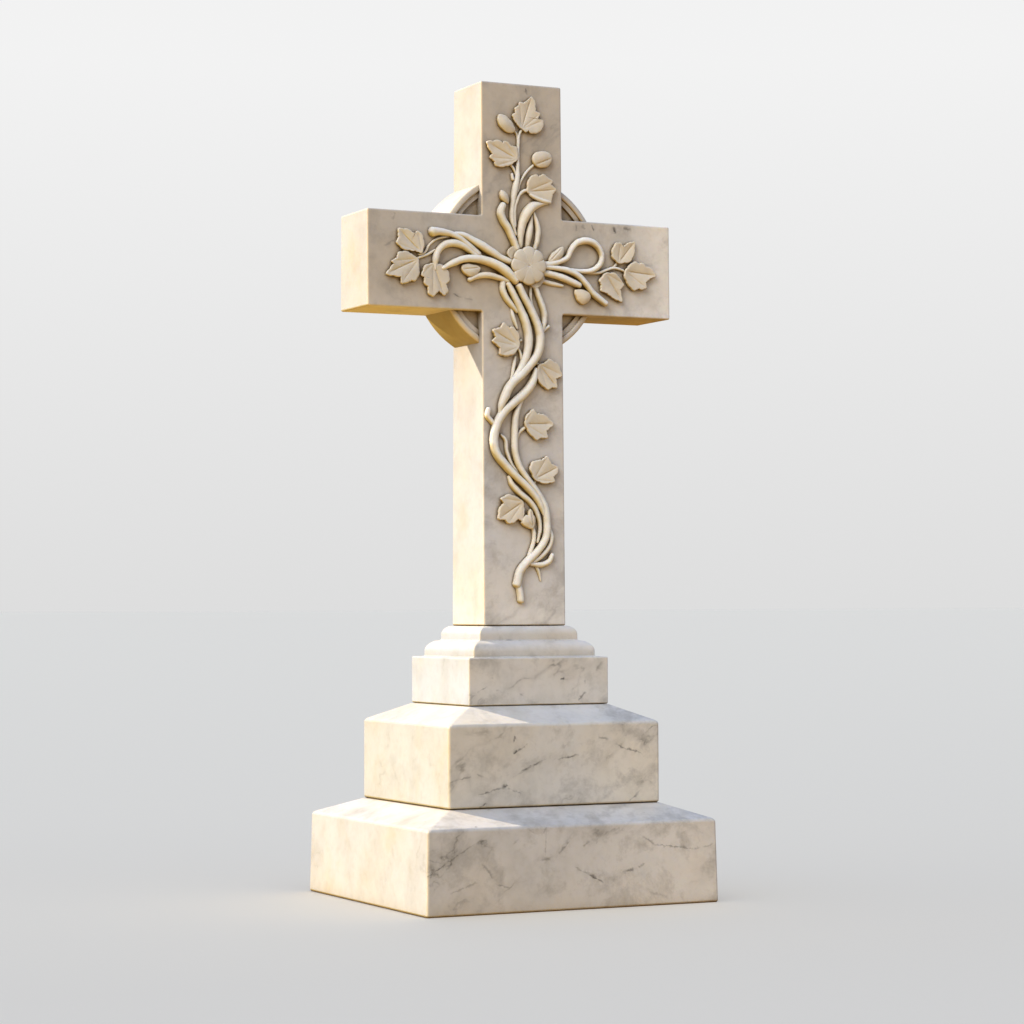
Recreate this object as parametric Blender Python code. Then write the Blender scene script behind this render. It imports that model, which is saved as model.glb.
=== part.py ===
"""A marble ring cross carved with a vine, on a moulded die block and two sloped plinths.

Metres, +Z up. The front faces -Y, and the origin is the middle of the underside.
The cross, with its ring and its vine, is cut from one block. It stands on the die block,
which has its moulding in one piece with it, and that on two plinths.
"""
import math

import bmesh
import bpy
from mathutils import Vector

JOINT = 0.0003                  # the bed between two stones

# cross
SHAFT_WIDTH = 0.200             # at the foot
SHAFT_DEPTH = 0.162             # at the foot
WIDTH_TAPER = 0.0034            # how much narrower the head's top is than the foot
DEPTH_TAPER = 0.021             # how much thinner it is
CROSS_HEIGHT = 1.192
ARM_SPAN = 0.740
ARM_HEIGHT = 0.210
ARM_RISE = 0.7915               # from the foot to the arms' axis
CORNER_RADIUS = 0.004           # where arms and shaft meet
CORNER_STEPS = 3
CROSS_ARRIS = 0.003

# ring
RING_RADIUS = 0.200
RING_RIM = 0.027                # width of the raised band
RING_SET_BACK = 0.013           # from the cross's front to the rim's
RING_BACK_STEP = 0.004          # from the cross's back to the ring's
PANEL_DEPTH = 0.011             # how deep the field inside the rim lies
RING_ARRIS = 0.003
RING_SEGMENTS = 64

# moulding and die block
OVOLO = 0.0195                  # the quarter round under the shaft
UPPER_FILLET = 0.0125
SHOULDER_OUT = 0.028            # the quarter ellipse below it
SHOULDER_DROP = 0.0235
LOWER_FILLET = 0.012
DIE_LEDGE = 0.021
DIE_HEIGHT = 0.103
ROUND_STEPS = 6                 # facets of each quarter round

# plinths
MIDDLE_STEP_WIDE = 0.084        # beyond the die block on each side
MIDDLE_STEP_DEEP = 0.077
MIDDLE_SIDE = 0.176
MIDDLE_SLOPE = 0.037
LOWER_STEP = 0.093              # beyond the middle plinth
LOWER_SIDE = 0.1785
LOWER_SLOPE = 0.0335
LOWER_BATTER = 0.0037           # lean of the lowest stone's sides
PLINTH_ARRIS = 0.004
SHARP_ANGLE = 40                # degrees; the edges that are sharper get an arris

# relief
RELIEF_SINK = 0.005             # how far the carving's solids reach into the face
STEM_FACETS = 5                 # across a stem's round back
THIN_STEM_FACETS = 3
THIN_STEM = 0.0095              # the width under which a stem counts as thin
STEM_STEP = 0.017               # between a stem's rings
STEM_FLATNESS = 0.85            # a stem's height for its width
STEM_END_REACH = 0.45           # how far a stem's end stands out, as a share of its half width
STEM_END_HALF = 0.55            # and the half width there
LEAF_EDGE = 0.0055              # a leaf's height at its rim
LEAF_CROWN = 0.0105             # and on its crown
LEAF_CROWN_SHARE = 0.55
LEAF_SPREAD = 0.00013           # how much higher each leaf is than the one before
ROSETTE_PLACE = (7, -3)         # drawn, as below
ROSETTE_PETALS = 8
ROSETTE_RADIUS = 0.041
ROSETTE_EDGE = 0.014            # height of the rim
ROSETTE_SHOULDER = 0.019        # height of the ring inside it, and its share of the radius
ROSETTE_SHOULDER_SHARE = 0.85
ROSETTE_CROWN = 0.021
ROSETTE_CROWN_SHARE = 0.45
RIM_SCALLOP = 0.05              # how deep the scallops cut, as a share of the radius
SHOULDER_SCALLOP = 0.03

# heights of the beds
MIDDLE_BASE = LOWER_SIDE + LOWER_SLOPE
DIE_BASE = MIDDLE_BASE + MIDDLE_SIDE + MIDDLE_SLOPE
CROSS_BASE = DIE_BASE + DIE_HEIGHT + LOWER_FILLET + SHOULDER_DROP + UPPER_FILLET + OVOLO
CROSS_TOP = CROSS_BASE + CROSS_HEIGHT
CENTRE = CROSS_BASE + ARM_RISE

# The vine is drawn in millimetres from the crossing's centre, on a face of these sizes,
# and the cross's own sizes stretch it. A stem's points are across, up and its width;
# the number before them is how far its widest line stands off the face.
DRAWN_HALF_WIDTH = 99
DRAWN_HALF_SPAN = 367.5
DRAWN_HALF_ARM = 105
DRAWN_HEAD = 399
DRAWN_FOOT = 788

STEMS = {
    "leader": (3, [(-19, 66, 9), (-27, 96, 12), (-26, 130, 12), (-20, 160, 15), (-14, 188, 13), (-12, 215, 10),
                   (-11, 255, 8), (-8, 284, 7), (2, 302, 6)]),
    "pod stalk": (2, [(-10, 272, 6), (-14, 288, 6), (-24, 296, 6)]),
    "hooked stem": (6, [(-17, 34, 16), (-28, 58, 17), (-38, 78, 18), (-50, 95, 18), (-56, 113, 18), (-50, 129, 15)]),
    "stem of the head's right leaf": (4, [(-20, 84, 8), (-21, 118, 8), (-16, 138, 8), (-9, 153, 8), (3, 163, 8),
                                          (18, 165, 6)]),
    "folded stalk": (2, [(-8, 38, 13), (-7, 66, 18), (-2, 90, 21), (8, 112, 24), (23, 129, 22), (44, 137, 13),
                         (62, 140, 6)]),
    "folded lip": (7, [(16, 156, 6), (30, 149, 9), (48, 144, 10), (66, 142, 7)]),
    "leader's nub": (3, [(-24, 187, 8), (-26, 198, 7)]),
    "left blade": (1, [(10, 40, 12), (15, 70, 18), (20, 95, 12), (24, 112, 5)]),
    "right blade": (4, [(28, 36, 10), (35, 60, 13), (36, 84, 13), (27, 116, 6)]),
    "stalk of the head's bud": (2, [(-12, 160, 6), (-5, 182, 6), (8, 203, 6), (28, 222, 6)]),
    "left leaf stalk": (3, [(-15, 196, 6), (-24, 213, 7), (-42, 229, 6)]),
    "knobbed stem": (6, [(-219, 61, 22), (-202, 62, 17), (-178, 59, 14), (-156, 51, 15), (-134, 35, 16), (-110, 17, 15)]),
    "upper left stem": (7, [(-166, 60, 8), (-146, 57, 14), (-122, 46, 17), (-100, 35, 20), (-78, 23, 20),
                            (-56, 11, 17), (-28, 3, 15)]),
    "looping left stem": (6, [(-213, -24, 18), (-212, 0, 16), (-205, 20, 15), (-188, 35, 16), (-165, 39, 17),
                              (-142, 32, 16), (-120, 18, 14), (-96, 8, 12)]),
    "main left stem": (9, [(-196, -18, 14), (-172, -5, 15), (-146, 5, 16), (-118, 7, 18), (-90, 3, 20), (-66, -5, 22),
                           (-44, -18, 24), (-22, -36, 21)]),
    "split stem": (6, [(-132, -39, 11), (-112, -30, 13), (-86, -27, 14), (-58, -32, 13), (-38, -38, 11)]),
    "stalk of the upper left leaf": (2, [(-250, 10, 5), (-236, 15, 6), (-224, 33, 6), (-205, 47, 6), (-178, 53, 6)]),
    "stalk of the left leaf": (2, [(-268, -8, 5), (-248, 4, 6), (-230, 11, 6), (-211, 22, 6)]),
    "loop": (7, [(40, 2, 13), (66, 5, 14), (90, 12, 13), (108, 22, 13), (117, 40, 13), (131, 55, 14), (150, 61, 16),
                 (168, 59, 16), (184, 48, 15), (193, 28, 13), (186, 8, 13), (166, -5, 12), (138, -8, 11),
                 (116, -6, 9)]),
    "long cut stem": (9, [(42, -3, 11), (80, -4, 12), (108, -8, 14), (134, -19, 15), (152, -36, 15), (172, -58, 15),
                          (200, -77, 14)]),
    "short cut stem": (6, [(40, -14, 15), (70, -18, 16), (104, -27, 17), (136, -39, 15)]),
    "low stem": (1, [(40, -31, 12), (68, -37, 12), (98, -41, 8)]),
    "stem of the right leaves": (3, [(158, -10, 7), (186, -8, 8), (204, -2, 8), (222, 4, 7), (240, 2, 7), (262, -6, 5)]),
    "stalk of the notched leaf": (2, [(220, 3, 6), (229, 11, 6), (238, 24, 5)]),
    "outer left strand": (3, [(-50, -36, 14), (-51, -56, 15), (-44, -72, 15), (-31, -88, 14), (-16, -103, 10)]),
    "inner left strand": (5, [(-38, -44, 15), (-26, -66, 17), (-12, -92, 18), (2, -122, 20), (10, -152, 20),
                              (9, -184, 20), (-2, -216, 18), (-20, -246, 16), (-34, -262, 14)]),
    "middle strand": (8, [(-14, -46, 17), (-2, -70, 18), (15, -98, 19), (31, -132, 20), (38, -160, 21), (31, -194, 20),
                          (10, -222, 20), (-14, -246, 20), (-36, -266, 20), (-49, -290, 20), (-60, -312, 16),
                          (-70, -334, 12)]),
    "right strand": (5, [(26, -44, 12), (36, -68, 14), (46, -92, 15), (50, -116, 14), (44, -144, 12)]),
    "right strand's nub": (5, [(46, -143, 9), (60, -133, 8)]),
    "left shaft leaf's nub": (3, [(-15, -170, 6), (-7, -166, 7)]),
    "thin strand": (3, [(19, -44, 7), (17, -70, 8), (22, -94, 8), (31, -112, 6)]),
    "faint strand": (0, [(-28, -97, 6), (-24, -116, 11), (-15, -140, 8)]),
    "stalk of the left shaft leaf": (4, [(-34, -172, 5), (-20, -178, 6), (-10, -192, 7), (-6, -208, 6)]),
    "blade under it": (2, [(-20, -202, 6), (-24, -222, 9), (-30, -252, 7)]),
    "sweeping strand": (7, [(27, -228, 10), (20, -254, 18), (2, -279, 20), (-25, -301, 20), (-50, -322, 20),
                            (-68, -350, 20), (-76, -384, 20), (-70, -414, 20), (-50, -438, 19), (-26, -461, 18),
                            (2, -485, 18), (26, -510, 18), (41, -538, 16)]),
    "left hook": (4, [(-87, -319, 12), (-89, -334, 13), (-77, -348, 12)]),
    "right long strand": (5, [(-18, -318, 12), (-24, -344, 15), (-25, -380, 16), (-24, -412, 16), (-12, -446, 17),
                              (8, -473, 17), (30, -500, 17), (46, -528, 18), (52, -562, 18), (49, -596, 18),
                              (30, -624, 18), (4, -648, 19), (-15, -671, 19), (-22, -698, 20)]),
    "short inner strand": (3, [(-57, -373, 6), (-46, -386, 9), (-43, -410, 10), (-32, -438, 10), (-14, -458, 8)]),
    "lower strand": (3, [(-38, -464, 9), (-31, -481, 14), (-12, -500, 15), (14, -520, 15), (29, -544, 14),
                         (36, -574, 10), (29, -606, 8)]),
    "stalk of the upper right shaft leaf": (3, [(-20, -382, 8), (-11, -365, 8), (10, -352, 7)]),
    "stalk of the right shaft leaf": (3, [(25, -214, 7), (36, -218, 8), (48, -226, 6)]),
    "stalk of the lower right shaft leaf": (3, [(28, -494, 6), (23, -480, 6), (30, -462, 6)]),
    "stalk of the lowest leaf": (4, [(13, -566, 8), (21, -586, 10), (19, -608, 10), (8, -636, 9)]),
    "outer right strand": (4, [(59, -577, 8), (63, -594, 12), (57, -616, 12), (38, -636, 12), (14, -652, 10)]),
    "curled end": (5, [(64, -634, 11), (56, -648, 13), (36, -655, 12), (12, -653, 10)]),
    "spur": (1, [(28, -660, 9), (34, -675, 8), (38, -690, 4)]),
    "cut end": (3, [(-19, -694, 16), (-14, -714, 17), (-12, -733, 17)]),
}

# A leaf's rim, in the same millimetres; the point before it is its crown.
LEAVES = {
    "head": ((8, 326), [(-3, 298), (-12, 304), (-22, 315), (-27, 328), (-19, 333), (-20, 344), (-10, 350), (-8, 358),
                        (1, 356), (12, 363), (22, 372), (30, 362), (31, 340), (43, 336), (36, 323), (50, 321),
                        (51, 309), (45, 298), (34, 291), (18, 290), (13, 296), (6, 291)]),
    "head's pod": ((-42, 307), [(-19, 293), (-32, 287), (-50, 294), (-62, 311), (-60, 326), (-50, 327), (-35, 318),
                                (-23, 304)]),
    "head's left": ((-48, 241), [(-14, 230), (-13, 247), (-16, 258), (-30, 260), (-38, 268), (-47, 269), (-51, 264),
                                 (-58, 270), (-90, 265), (-85, 250), (-76, 239), (-83, 231), (-71, 222), (-69, 213),
                                 (-55, 211), (-32, 217)]),
    "head's bud": ((45, 234), [(27, 221), (22, 236), (28, 247), (37, 251), (64, 250), (71, 239), (64, 223),
                               (48, 216)]),
    "head's right": ((42, 172), [(8, 161), (10, 184), (18, 196), (31, 201), (37, 197), (50, 203), (62, 195),
                                 (73, 190), (68, 181), (82, 170), (72, 159), (68, 140), (44, 141), (24, 150)]),
    "hooked bud": ((-48, 147), [(-38, 132), (-50, 136), (-58, 150), (-55, 161), (-45, 157), (-38, 147)]),
    "left's upper": ((-270, 38), [(-244, 12), (-238, 32), (-244, 55), (-254, 61), (-261, 53), (-275, 63), (-300, 64),
                                  (-299, 44), (-305, 33), (-288, 18), (-260, 17)]),
    "left's end": ((-284, -21), [(-252, 0), (-264, 7), (-281, 16), (-300, 12), (-303, 0), (-316, -8), (-310, -13),
                                 (-329, -37), (-294, -41), (-293, -56), (-280, -54), (-269, -48), (-260, -49),
                                 (-250, -33), (-251, -17)]),
    "left's lower": ((-211, -43), [(-218, -7), (-238, -13), (-247, -36), (-239, -38), (-240, -53), (-231, -59),
                                   (-230, -76), (-219, -81), (-205, -67), (-192, -78), (-182, -68), (-188, -52),
                                   (-179, -44), (-181, -25), (-196, -10)]),
    "left's hidden": ((-129, -18), [(-106, -12), (-124, -6), (-150, -8), (-152, -18), (-140, -30), (-126, -33),
                                    (-110, -22)]),
    "right's bud": ((82, 28), [(60, 8), (64, 21), (80, 36), (96, 45), (98, 34), (90, 18), (74, 10)]),
    "right's notched": ((246, 38), [(233, 14), (218, 26), (217, 43), (228, 61), (239, 62), (246, 53), (260, 63),
                                    (276, 66), (274, 38), (263, 19)]),
    "right's end": ((283, -12), [(249, -2), (263, 15), (276, 22), (286, 17), (296, 19), (302, 12), (316, 9),
                                 (330, -9), (314, -15), (302, -25), (304, -38), (292, -43), (284, -40), (271, -46),
                                 (256, -33), (247, -14)]),
    "right's lower": ((214, -36), [(200, -8), (226, -7), (238, -19), (248, -33), (238, -44), (243, -73), (222, -66),
                                   (203, -54), (188, -50), (189, -36), (184, -26)]),
    "right's small": ((145, -66), [(125, -49), (127, -66), (134, -77), (145, -82), (163, -67), (160, -54)]),
    "shaft's left": ((-44, -167), [(-12, -180), (-14, -152), (-28, -137), (-37, -140), (-51, -128), (-59, -140),
                                   (-79, -146), (-71, -162), (-80, -170), (-61, -185), (-62, -200), (-46, -203),
                                   (-26, -198)]),
    "shaft's right": ((56, -238), [(34, -217), (47, -214), (60, -204), (82, -215), (92, -241), (76, -248), (79, -269),
                                   (66, -268), (56, -274), (38, -262), (23, -241)]),
    "shaft's upper right": ((32, -352), [(-2, -349), (1, -332), (19, -315), (28, -325), (48, -327), (71, -347),
                                         (51, -363), (55, -379), (37, -379), (27, -385), (8, -369)]),
    "shaft's lower right": ((44, -450), [(20, -470), (9, -446), (15, -431), (30, -427), (40, -426), (53, -417),
                                         (63, -434), (80, -441), (79, -454), (67, -464), (72, -474), (44, -479)]),
    "shaft's lowest": ((-32, -536), [(-6, -518), (-24, -507), (-42, -502), (-62, -512), (-54, -522), (-65, -533),
                                     (-68, -558), (-52, -558), (-44, -567), (-29, -565), (-20, -556), (-8, -562),
                                     (-4, -540)]),
    "shaft's lowest bud": ((9, -560), [(16, -577), (0, -574), (-12, -565), (-4, -548), (4, -547), (10, -533),
                                       (17, -545), (22, -558)]),
}


def clear_scene():
    for obj in list(bpy.data.objects):
        bpy.data.objects.remove(obj, do_unlink=True)


def marble(name, colour, roughness):
    material = bpy.data.materials.new(name)
    material.use_nodes = True
    shader = material.node_tree.nodes["Principled BSDF"]
    shader.inputs["Base Color"].default_value = (*colour, 1.0)
    shader.inputs["Roughness"].default_value = roughness
    shader.inputs["Metallic"].default_value = 0.0
    material.diffuse_color = (*colour, 1.0)
    return material


def add_object(name, mesh, material=None, collection=None):
    obj = bpy.data.objects.new(name, mesh)
    (collection or bpy.context.scene.collection).objects.link(obj)
    if material:
        mesh.materials.append(material)
    return obj


def mesh_of(name, build):
    """A mesh filled by a function of its own, with its faces turned outwards."""
    mesh = bpy.data.meshes.new(name)
    shape = bmesh.new()
    build(shape)
    bmesh.ops.recalc_face_normals(shape, faces=shape.faces)
    shape.to_mesh(mesh)
    shape.free()
    return mesh


def loft(shape, rings, cap=True):
    """Joins closed rings of points, each to the next, and caps the two ends."""
    loops = [[shape.verts.new(point) for point in ring] for ring in rings]
    for low, high in zip(loops, loops[1:]):
        for i in range(len(low)):
            j = (i + 1) % len(low)
            shape.faces.new((low[i], low[j], high[j], high[i]))
    if cap:
        shape.faces.new(loops[0][::-1])
        shape.faces.new(loops[-1])
    return loops


def add_bevel(obj, width, segments=2):
    bevel = obj.modifiers.new("arris", "BEVEL")
    bevel.width = width
    bevel.segments = segments
    bevel.limit_method = "ANGLE"
    bevel.angle_limit = math.radians(SHARP_ANGLE)


# Sizes of the cross at a height
def rise_share(z):
    return (z - CROSS_BASE) / CROSS_HEIGHT


def half_width(z):
    return (SHAFT_WIDTH - WIDTH_TAPER * rise_share(z)) / 2


def half_depth(z):
    return (SHAFT_DEPTH - DEPTH_TAPER * rise_share(z)) / 2


# Plinths, die block and moulding
def rectangle(wide, deep, z):
    return [(-wide, -deep, z), (wide, -deep, z), (wide, deep, z), (-wide, deep, z)]


def quarter(out, rise):
    """A convex quarter round, as steps inwards and upwards from its lower outer end."""
    angles = [math.pi / 2 * i / ROUND_STEPS for i in range(1, ROUND_STEPS + 1)]
    return [(out * (1 - math.cos(a)), rise * math.sin(a)) for a in angles]


def die_half_sizes():
    spread = OVOLO + SHOULDER_OUT + DIE_LEDGE
    return SHAFT_WIDTH / 2 + spread, SHAFT_DEPTH / 2 + spread


def die_block(material):
    wide, deep = die_half_sizes()
    z = DIE_BASE + JOINT
    profile = [(0.0, z), (0.0, DIE_BASE + DIE_HEIGHT)]
    inset, z = DIE_LEDGE, DIE_BASE + DIE_HEIGHT
    profile += [(inset, z), (inset, z + LOWER_FILLET)]
    z += LOWER_FILLET
    profile += [(inset + out, z + rise) for out, rise in quarter(SHOULDER_OUT, SHOULDER_DROP)]
    inset, z = inset + SHOULDER_OUT, z + SHOULDER_DROP
    profile.append((inset, z + UPPER_FILLET))
    z += UPPER_FILLET
    profile += [(inset + out, z + rise) for out, rise in quarter(OVOLO, OVOLO)]

    def build(shape):
        loft(shape, [rectangle(wide - inset, deep - inset, z) for inset, z in profile])

    return add_object("moulded_die_block", mesh_of("moulded_die_block", build), material)


def plinth(name, material, foot, side_top, top, seat, batter=0.0):
    """A block with a sloped top that ends at the edges of the stone it carries."""
    wide, deep, base = foot
    rings = [rectangle(wide, deep, base),
             rectangle(wide - batter, deep - batter, side_top),
             rectangle(*seat, top)]
    obj = add_object(name, mesh_of(name, lambda shape: loft(shape, rings)), material)
    add_bevel(obj, PLINTH_ARRIS)
    return obj


def plinths(upper_material, lower_material):
    die = die_half_sizes()
    middle = (die[0] + MIDDLE_STEP_WIDE, die[1] + MIDDLE_STEP_DEEP)
    lower = (middle[0] + LOWER_STEP, middle[1] + LOWER_STEP)
    plinth("middle_plinth", upper_material, (*middle, MIDDLE_BASE + JOINT), MIDDLE_BASE + MIDDLE_SIDE, DIE_BASE, die)
    plinth("lower_plinth", lower_material, (*lower, 0.0), LOWER_SIDE, MIDDLE_BASE, middle, LOWER_BATTER)


# Cross and ring
def inner_corner(x, z, away_x, away_z):
    """Points of the small hollow round where an arm meets the shaft, from the shaft's side to the arm's."""
    centre = Vector((x + away_x * CORNER_RADIUS, z + away_z * CORNER_RADIUS))
    start = math.atan2(0.0, -away_x)
    turn = math.pi / 2 * away_x * away_z
    return [(centre.x + CORNER_RADIUS * math.cos(start + turn * i / CORNER_STEPS),
             centre.y + CORNER_RADIUS * math.sin(start + turn * i / CORNER_STEPS)) for i in range(CORNER_STEPS + 1)]


def cross_outline():
    """The front's outline, as points across and up, anticlockwise from the foot's right corner."""
    low, high = CENTRE - ARM_HEIGHT / 2, CENTRE + ARM_HEIGHT / 2
    span, foot = ARM_SPAN / 2, CROSS_BASE + JOINT
    right = [(half_width(foot), foot)]
    right += inner_corner(half_width(low), low, 1, -1)
    right += [(span, low), (span, high)]
    right += inner_corner(half_width(high), high, 1, 1)[::-1]
    right.append((half_width(CROSS_TOP), CROSS_TOP))
    return right + [(-x, z) for x, z in reversed(right)]


def ring_points(radius, y):
    turns = [2 * math.pi * i / RING_SEGMENTS for i in range(RING_SEGMENTS)]
    return [(radius * math.cos(t), y, CENTRE + radius * math.sin(t)) for t in turns]


def ring():
    front = -half_depth(CENTRE) + RING_SET_BACK
    back = half_depth(CENTRE) - RING_BACK_STEP
    inner = RING_RADIUS - RING_RIM
    rings = [ring_points(RING_RADIUS - RING_ARRIS, back), ring_points(RING_RADIUS, back - RING_ARRIS),
             ring_points(RING_RADIUS, front + RING_ARRIS), ring_points(RING_RADIUS - RING_ARRIS, front),
             ring_points(inner, front), ring_points(inner, front + PANEL_DEPTH)]
    return mesh_of("ring", lambda shape: loft(shape, rings))


# The vine
def stretched(value, drawn_near, near, drawn_far, far):
    """A drawn distance on the real face: one scale as far as the crossing reaches, another beyond it."""
    size = abs(value)
    if size <= drawn_near:
        return value * near / drawn_near
    beyond = near + (size - drawn_near) * (far - near) / (drawn_far - drawn_near)
    return math.copysign(beyond, value)


def on_face(across, up, lift):
    drawn_far, far = (DRAWN_HEAD, CROSS_TOP - CENTRE) if up > 0 else (DRAWN_FOOT, ARM_RISE)
    z = CENTRE + stretched(up, DRAWN_HALF_ARM, ARM_HEIGHT / 2, drawn_far, far)
    x = stretched(across, DRAWN_HALF_WIDTH, half_width(z), DRAWN_HALF_SPAN, ARM_SPAN / 2)
    return Vector((x, -half_depth(z) - lift, z))


def drawn_scale():
    return half_width(CENTRE) / DRAWN_HALF_WIDTH


def smooth_through(points, step):
    """Points along a Catmull-Rom curve through the given ones; each may carry further values."""
    points = [Vector(p) for p in points]
    ends = [points[0] * 2 - points[1]] + points + [points[-1] * 2 - points[-2]]
    result = []
    for a, b, c, d in zip(ends, ends[1:], ends[2:], ends[3:]):
        count = max(1, round((c - b).length / step))
        for i in range(count):
            t = i / count
            result.append(0.5 * (2 * b + (c - a) * t + (2 * a - 5 * b + 4 * c - d) * t ** 2
                                 + (3 * b - a - 3 * c + d) * t ** 3))
    return result + [points[-1]]


def closing_ring(middle, side, half, direction):
    """The smaller section that ends a stem."""
    along = Vector((-side.z, 0.0, side.x)) * direction
    return middle + along * half * STEM_END_REACH, side, half * STEM_END_HALF


def stem_rings(lift, points):
    """Sections across the stem, round above and run into the face, with a smaller one closing each end."""
    scale = drawn_scale()
    route = smooth_through(points, STEM_STEP / scale)
    middles = [on_face(x, z, lift * scale) for x, z, _ in route]
    halves = [width * scale / 2 for _, _, width in route]
    rings = []
    for i, (middle, half) in enumerate(zip(middles, halves)):
        ahead = middles[min(i + 1, len(middles) - 1)] - middles[max(i - 1, 0)]
        side = Vector((ahead.z, 0.0, -ahead.x)).normalized()
        rings.append((middle, side, half))
    first, last = [closing_ring(*rings[index], direction) for index, direction in ((0, -1), (-1, 1))]
    rings = [first, *rings, last]
    facets = STEM_FACETS if max(halves) * 2 > THIN_STEM else THIN_STEM_FACETS
    turns = [math.pi * i / facets for i in range(facets + 1)]
    section = [(math.cos(t), math.sin(t) * STEM_FLATNESS) for t in turns]
    sunk = -lift * scale - RELIEF_SINK
    out = Vector((0.0, -1.0, 0.0))
    return [[middle + side * half * across + out * half * rise for across, rise in section]
            + [middle - side * half + out * sunk, middle + side * half + out * sunk]
            for middle, side, half in rings]


def leaf_rings(number, crown, rim):
    raised = number * LEAF_SPREAD

    def section(share, height):
        return [on_face(crown[0] + (x - crown[0]) * share, crown[1] + (z - crown[1]) * share, height) for x, z in rim]

    return [section(1.0, raised - RELIEF_SINK), section(1.0, raised + LEAF_EDGE),
            section(LEAF_CROWN_SHARE, raised + LEAF_CROWN)]


def rosette_rings():
    """A round flower with a scalloped rim."""
    count = ROSETTE_PETALS * 3
    centre = on_face(*ROSETTE_PLACE, 0.0)

    def section(share, height, scallop):
        points = []
        for i in range(count):
            turn = 2 * math.pi * i / count
            reach = ROSETTE_RADIUS * share * (1 - scallop * (1 - abs(math.sin(ROSETTE_PETALS * turn / 2))))
            points.append(centre + Vector((reach * math.cos(turn), -height, reach * math.sin(turn))))
        return points

    return [section(1.0, -RELIEF_SINK, RIM_SCALLOP), section(1.0, ROSETTE_EDGE, RIM_SCALLOP),
            section(ROSETTE_SHOULDER_SHARE, ROSETTE_SHOULDER, SHOULDER_SCALLOP),
            section(ROSETTE_CROWN_SHARE, ROSETTE_CROWN, 0.0)]


def carving():
    """The vine's solids, which the cross is joined with."""
    collection = bpy.data.collections.new("vine")
    bpy.context.scene.collection.children.link(collection)
    shapes = {name: stem_rings(*stem) for name, stem in STEMS.items()}
    shapes.update({name + " leaf": leaf_rings(i, *leaf) for i, (name, leaf) in enumerate(LEAVES.items())})
    shapes["rosette"] = rosette_rings()
    meshes = {name: mesh_of(name, lambda shape, r=rings: loft(shape, r)) for name, rings in shapes.items()}
    meshes["ring"] = ring()
    for name, mesh in meshes.items():
        obj = add_object(name.replace(" ", "_").replace("'", "").replace(",", ""), mesh, collection=collection)
        obj.hide_render = True
        obj.display_type = "WIRE"
    return collection


def cross(material):
    outline = cross_outline()

    def build(shape):
        loft(shape, [[(x, side * half_depth(z), z) for x, z in outline] for side in (-1, 1)])

    obj = add_object("cross", mesh_of("cross", build), material)
    add_bevel(obj, CROSS_ARRIS)
    union = obj.modifiers.new("carving", "BOOLEAN")
    union.operation = "UNION"
    union.solver = "EXACT"
    union.operand_type = "COLLECTION"
    union.collection = carving()
    return obj


def main():
    clear_scene()
    cross(marble("cream_marble", (0.76, 0.71, 0.63), 0.45))
    die_block(marble("cream_marble_moulding", (0.75, 0.70, 0.62), 0.45))
    plinths(marble("veined_marble", (0.72, 0.69, 0.64), 0.45), marble("veined_marble_base", (0.70, 0.67, 0.63), 0.50))


main()
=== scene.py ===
"""A marble ring cross carved with a vine, on a moulded die block and two sloped plinths.

Metres, +Z up, and the front faces -Y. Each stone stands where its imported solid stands.
"""
import math

import bmesh
import bpy
from mathutils import Matrix, Vector


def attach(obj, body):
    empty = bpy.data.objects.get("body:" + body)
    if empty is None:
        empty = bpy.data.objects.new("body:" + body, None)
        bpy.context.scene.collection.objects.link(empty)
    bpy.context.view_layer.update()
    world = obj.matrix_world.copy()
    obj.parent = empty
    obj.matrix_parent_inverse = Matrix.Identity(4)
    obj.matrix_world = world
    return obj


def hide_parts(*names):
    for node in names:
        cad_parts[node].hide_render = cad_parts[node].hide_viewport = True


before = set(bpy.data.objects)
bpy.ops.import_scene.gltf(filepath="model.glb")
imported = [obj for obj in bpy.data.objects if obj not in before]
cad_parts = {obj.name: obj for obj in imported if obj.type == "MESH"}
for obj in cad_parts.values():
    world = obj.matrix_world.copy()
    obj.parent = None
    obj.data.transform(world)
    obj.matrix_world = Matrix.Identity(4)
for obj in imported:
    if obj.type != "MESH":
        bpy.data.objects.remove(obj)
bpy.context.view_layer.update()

# cross
SHAFT_WIDTH = 0.200             # at the foot
SHAFT_DEPTH = 0.162
WIDTH_TAPER = 0.0034            # how much narrower the head's top is than the foot
DEPTH_TAPER = 0.021
CROSS_HEIGHT = 1.192
ARM_SPAN = 0.740
ARM_HEIGHT = 0.210
ARM_RISE = 0.7915               # from the foot to the arms' axis
CORNER_RADIUS = 0.004           # where arms and shaft meet
CROSS_ARRIS = 0.0055

# ring
RING_RADIUS = 0.200
RING_SET_BACK = 0.013           # from the cross's front to the rim's
RING_BACK_STEP = 0.004
RING_ARRIS = 0.003
RIM_STEP_RADIUS = 0.1865        # where the rim drops to its inner band
RIM_STEP = 0.0045
RIM_ROUND = 0.0055              # how far the outer band curves down to its edge
PANEL_RADIUS = 0.1755
PANEL_DEPTH = 0.0115
BAND_LEAN = 0.0012              # how far each step's side slopes
RING_SEGMENTS = 160

# moulding and die block
OVOLO = 0.0195
UPPER_FILLET = 0.0125
SHOULDER_OUT = 0.028
SHOULDER_DROP = 0.0235
LOWER_FILLET = 0.012
DIE_LEDGE = 0.021
DIE_HEIGHT = 0.103
ROUND_STEPS = 14

# plinths
MIDDLE_STEP_WIDE = 0.084        # beyond the die block on each side
MIDDLE_STEP_DEEP = 0.077
MIDDLE_SIDE = 0.176
MIDDLE_SLOPE = 0.037
LOWER_STEP = 0.093
LOWER_SIDE = 0.1785
LOWER_SLOPE = 0.0335
LOWER_BATTER = 0.0037
PLINTH_ARRIS = 0.0052
DIE_ARRIS = 0.0034
BED_GAP = 0.0003                # between two stones

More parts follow.
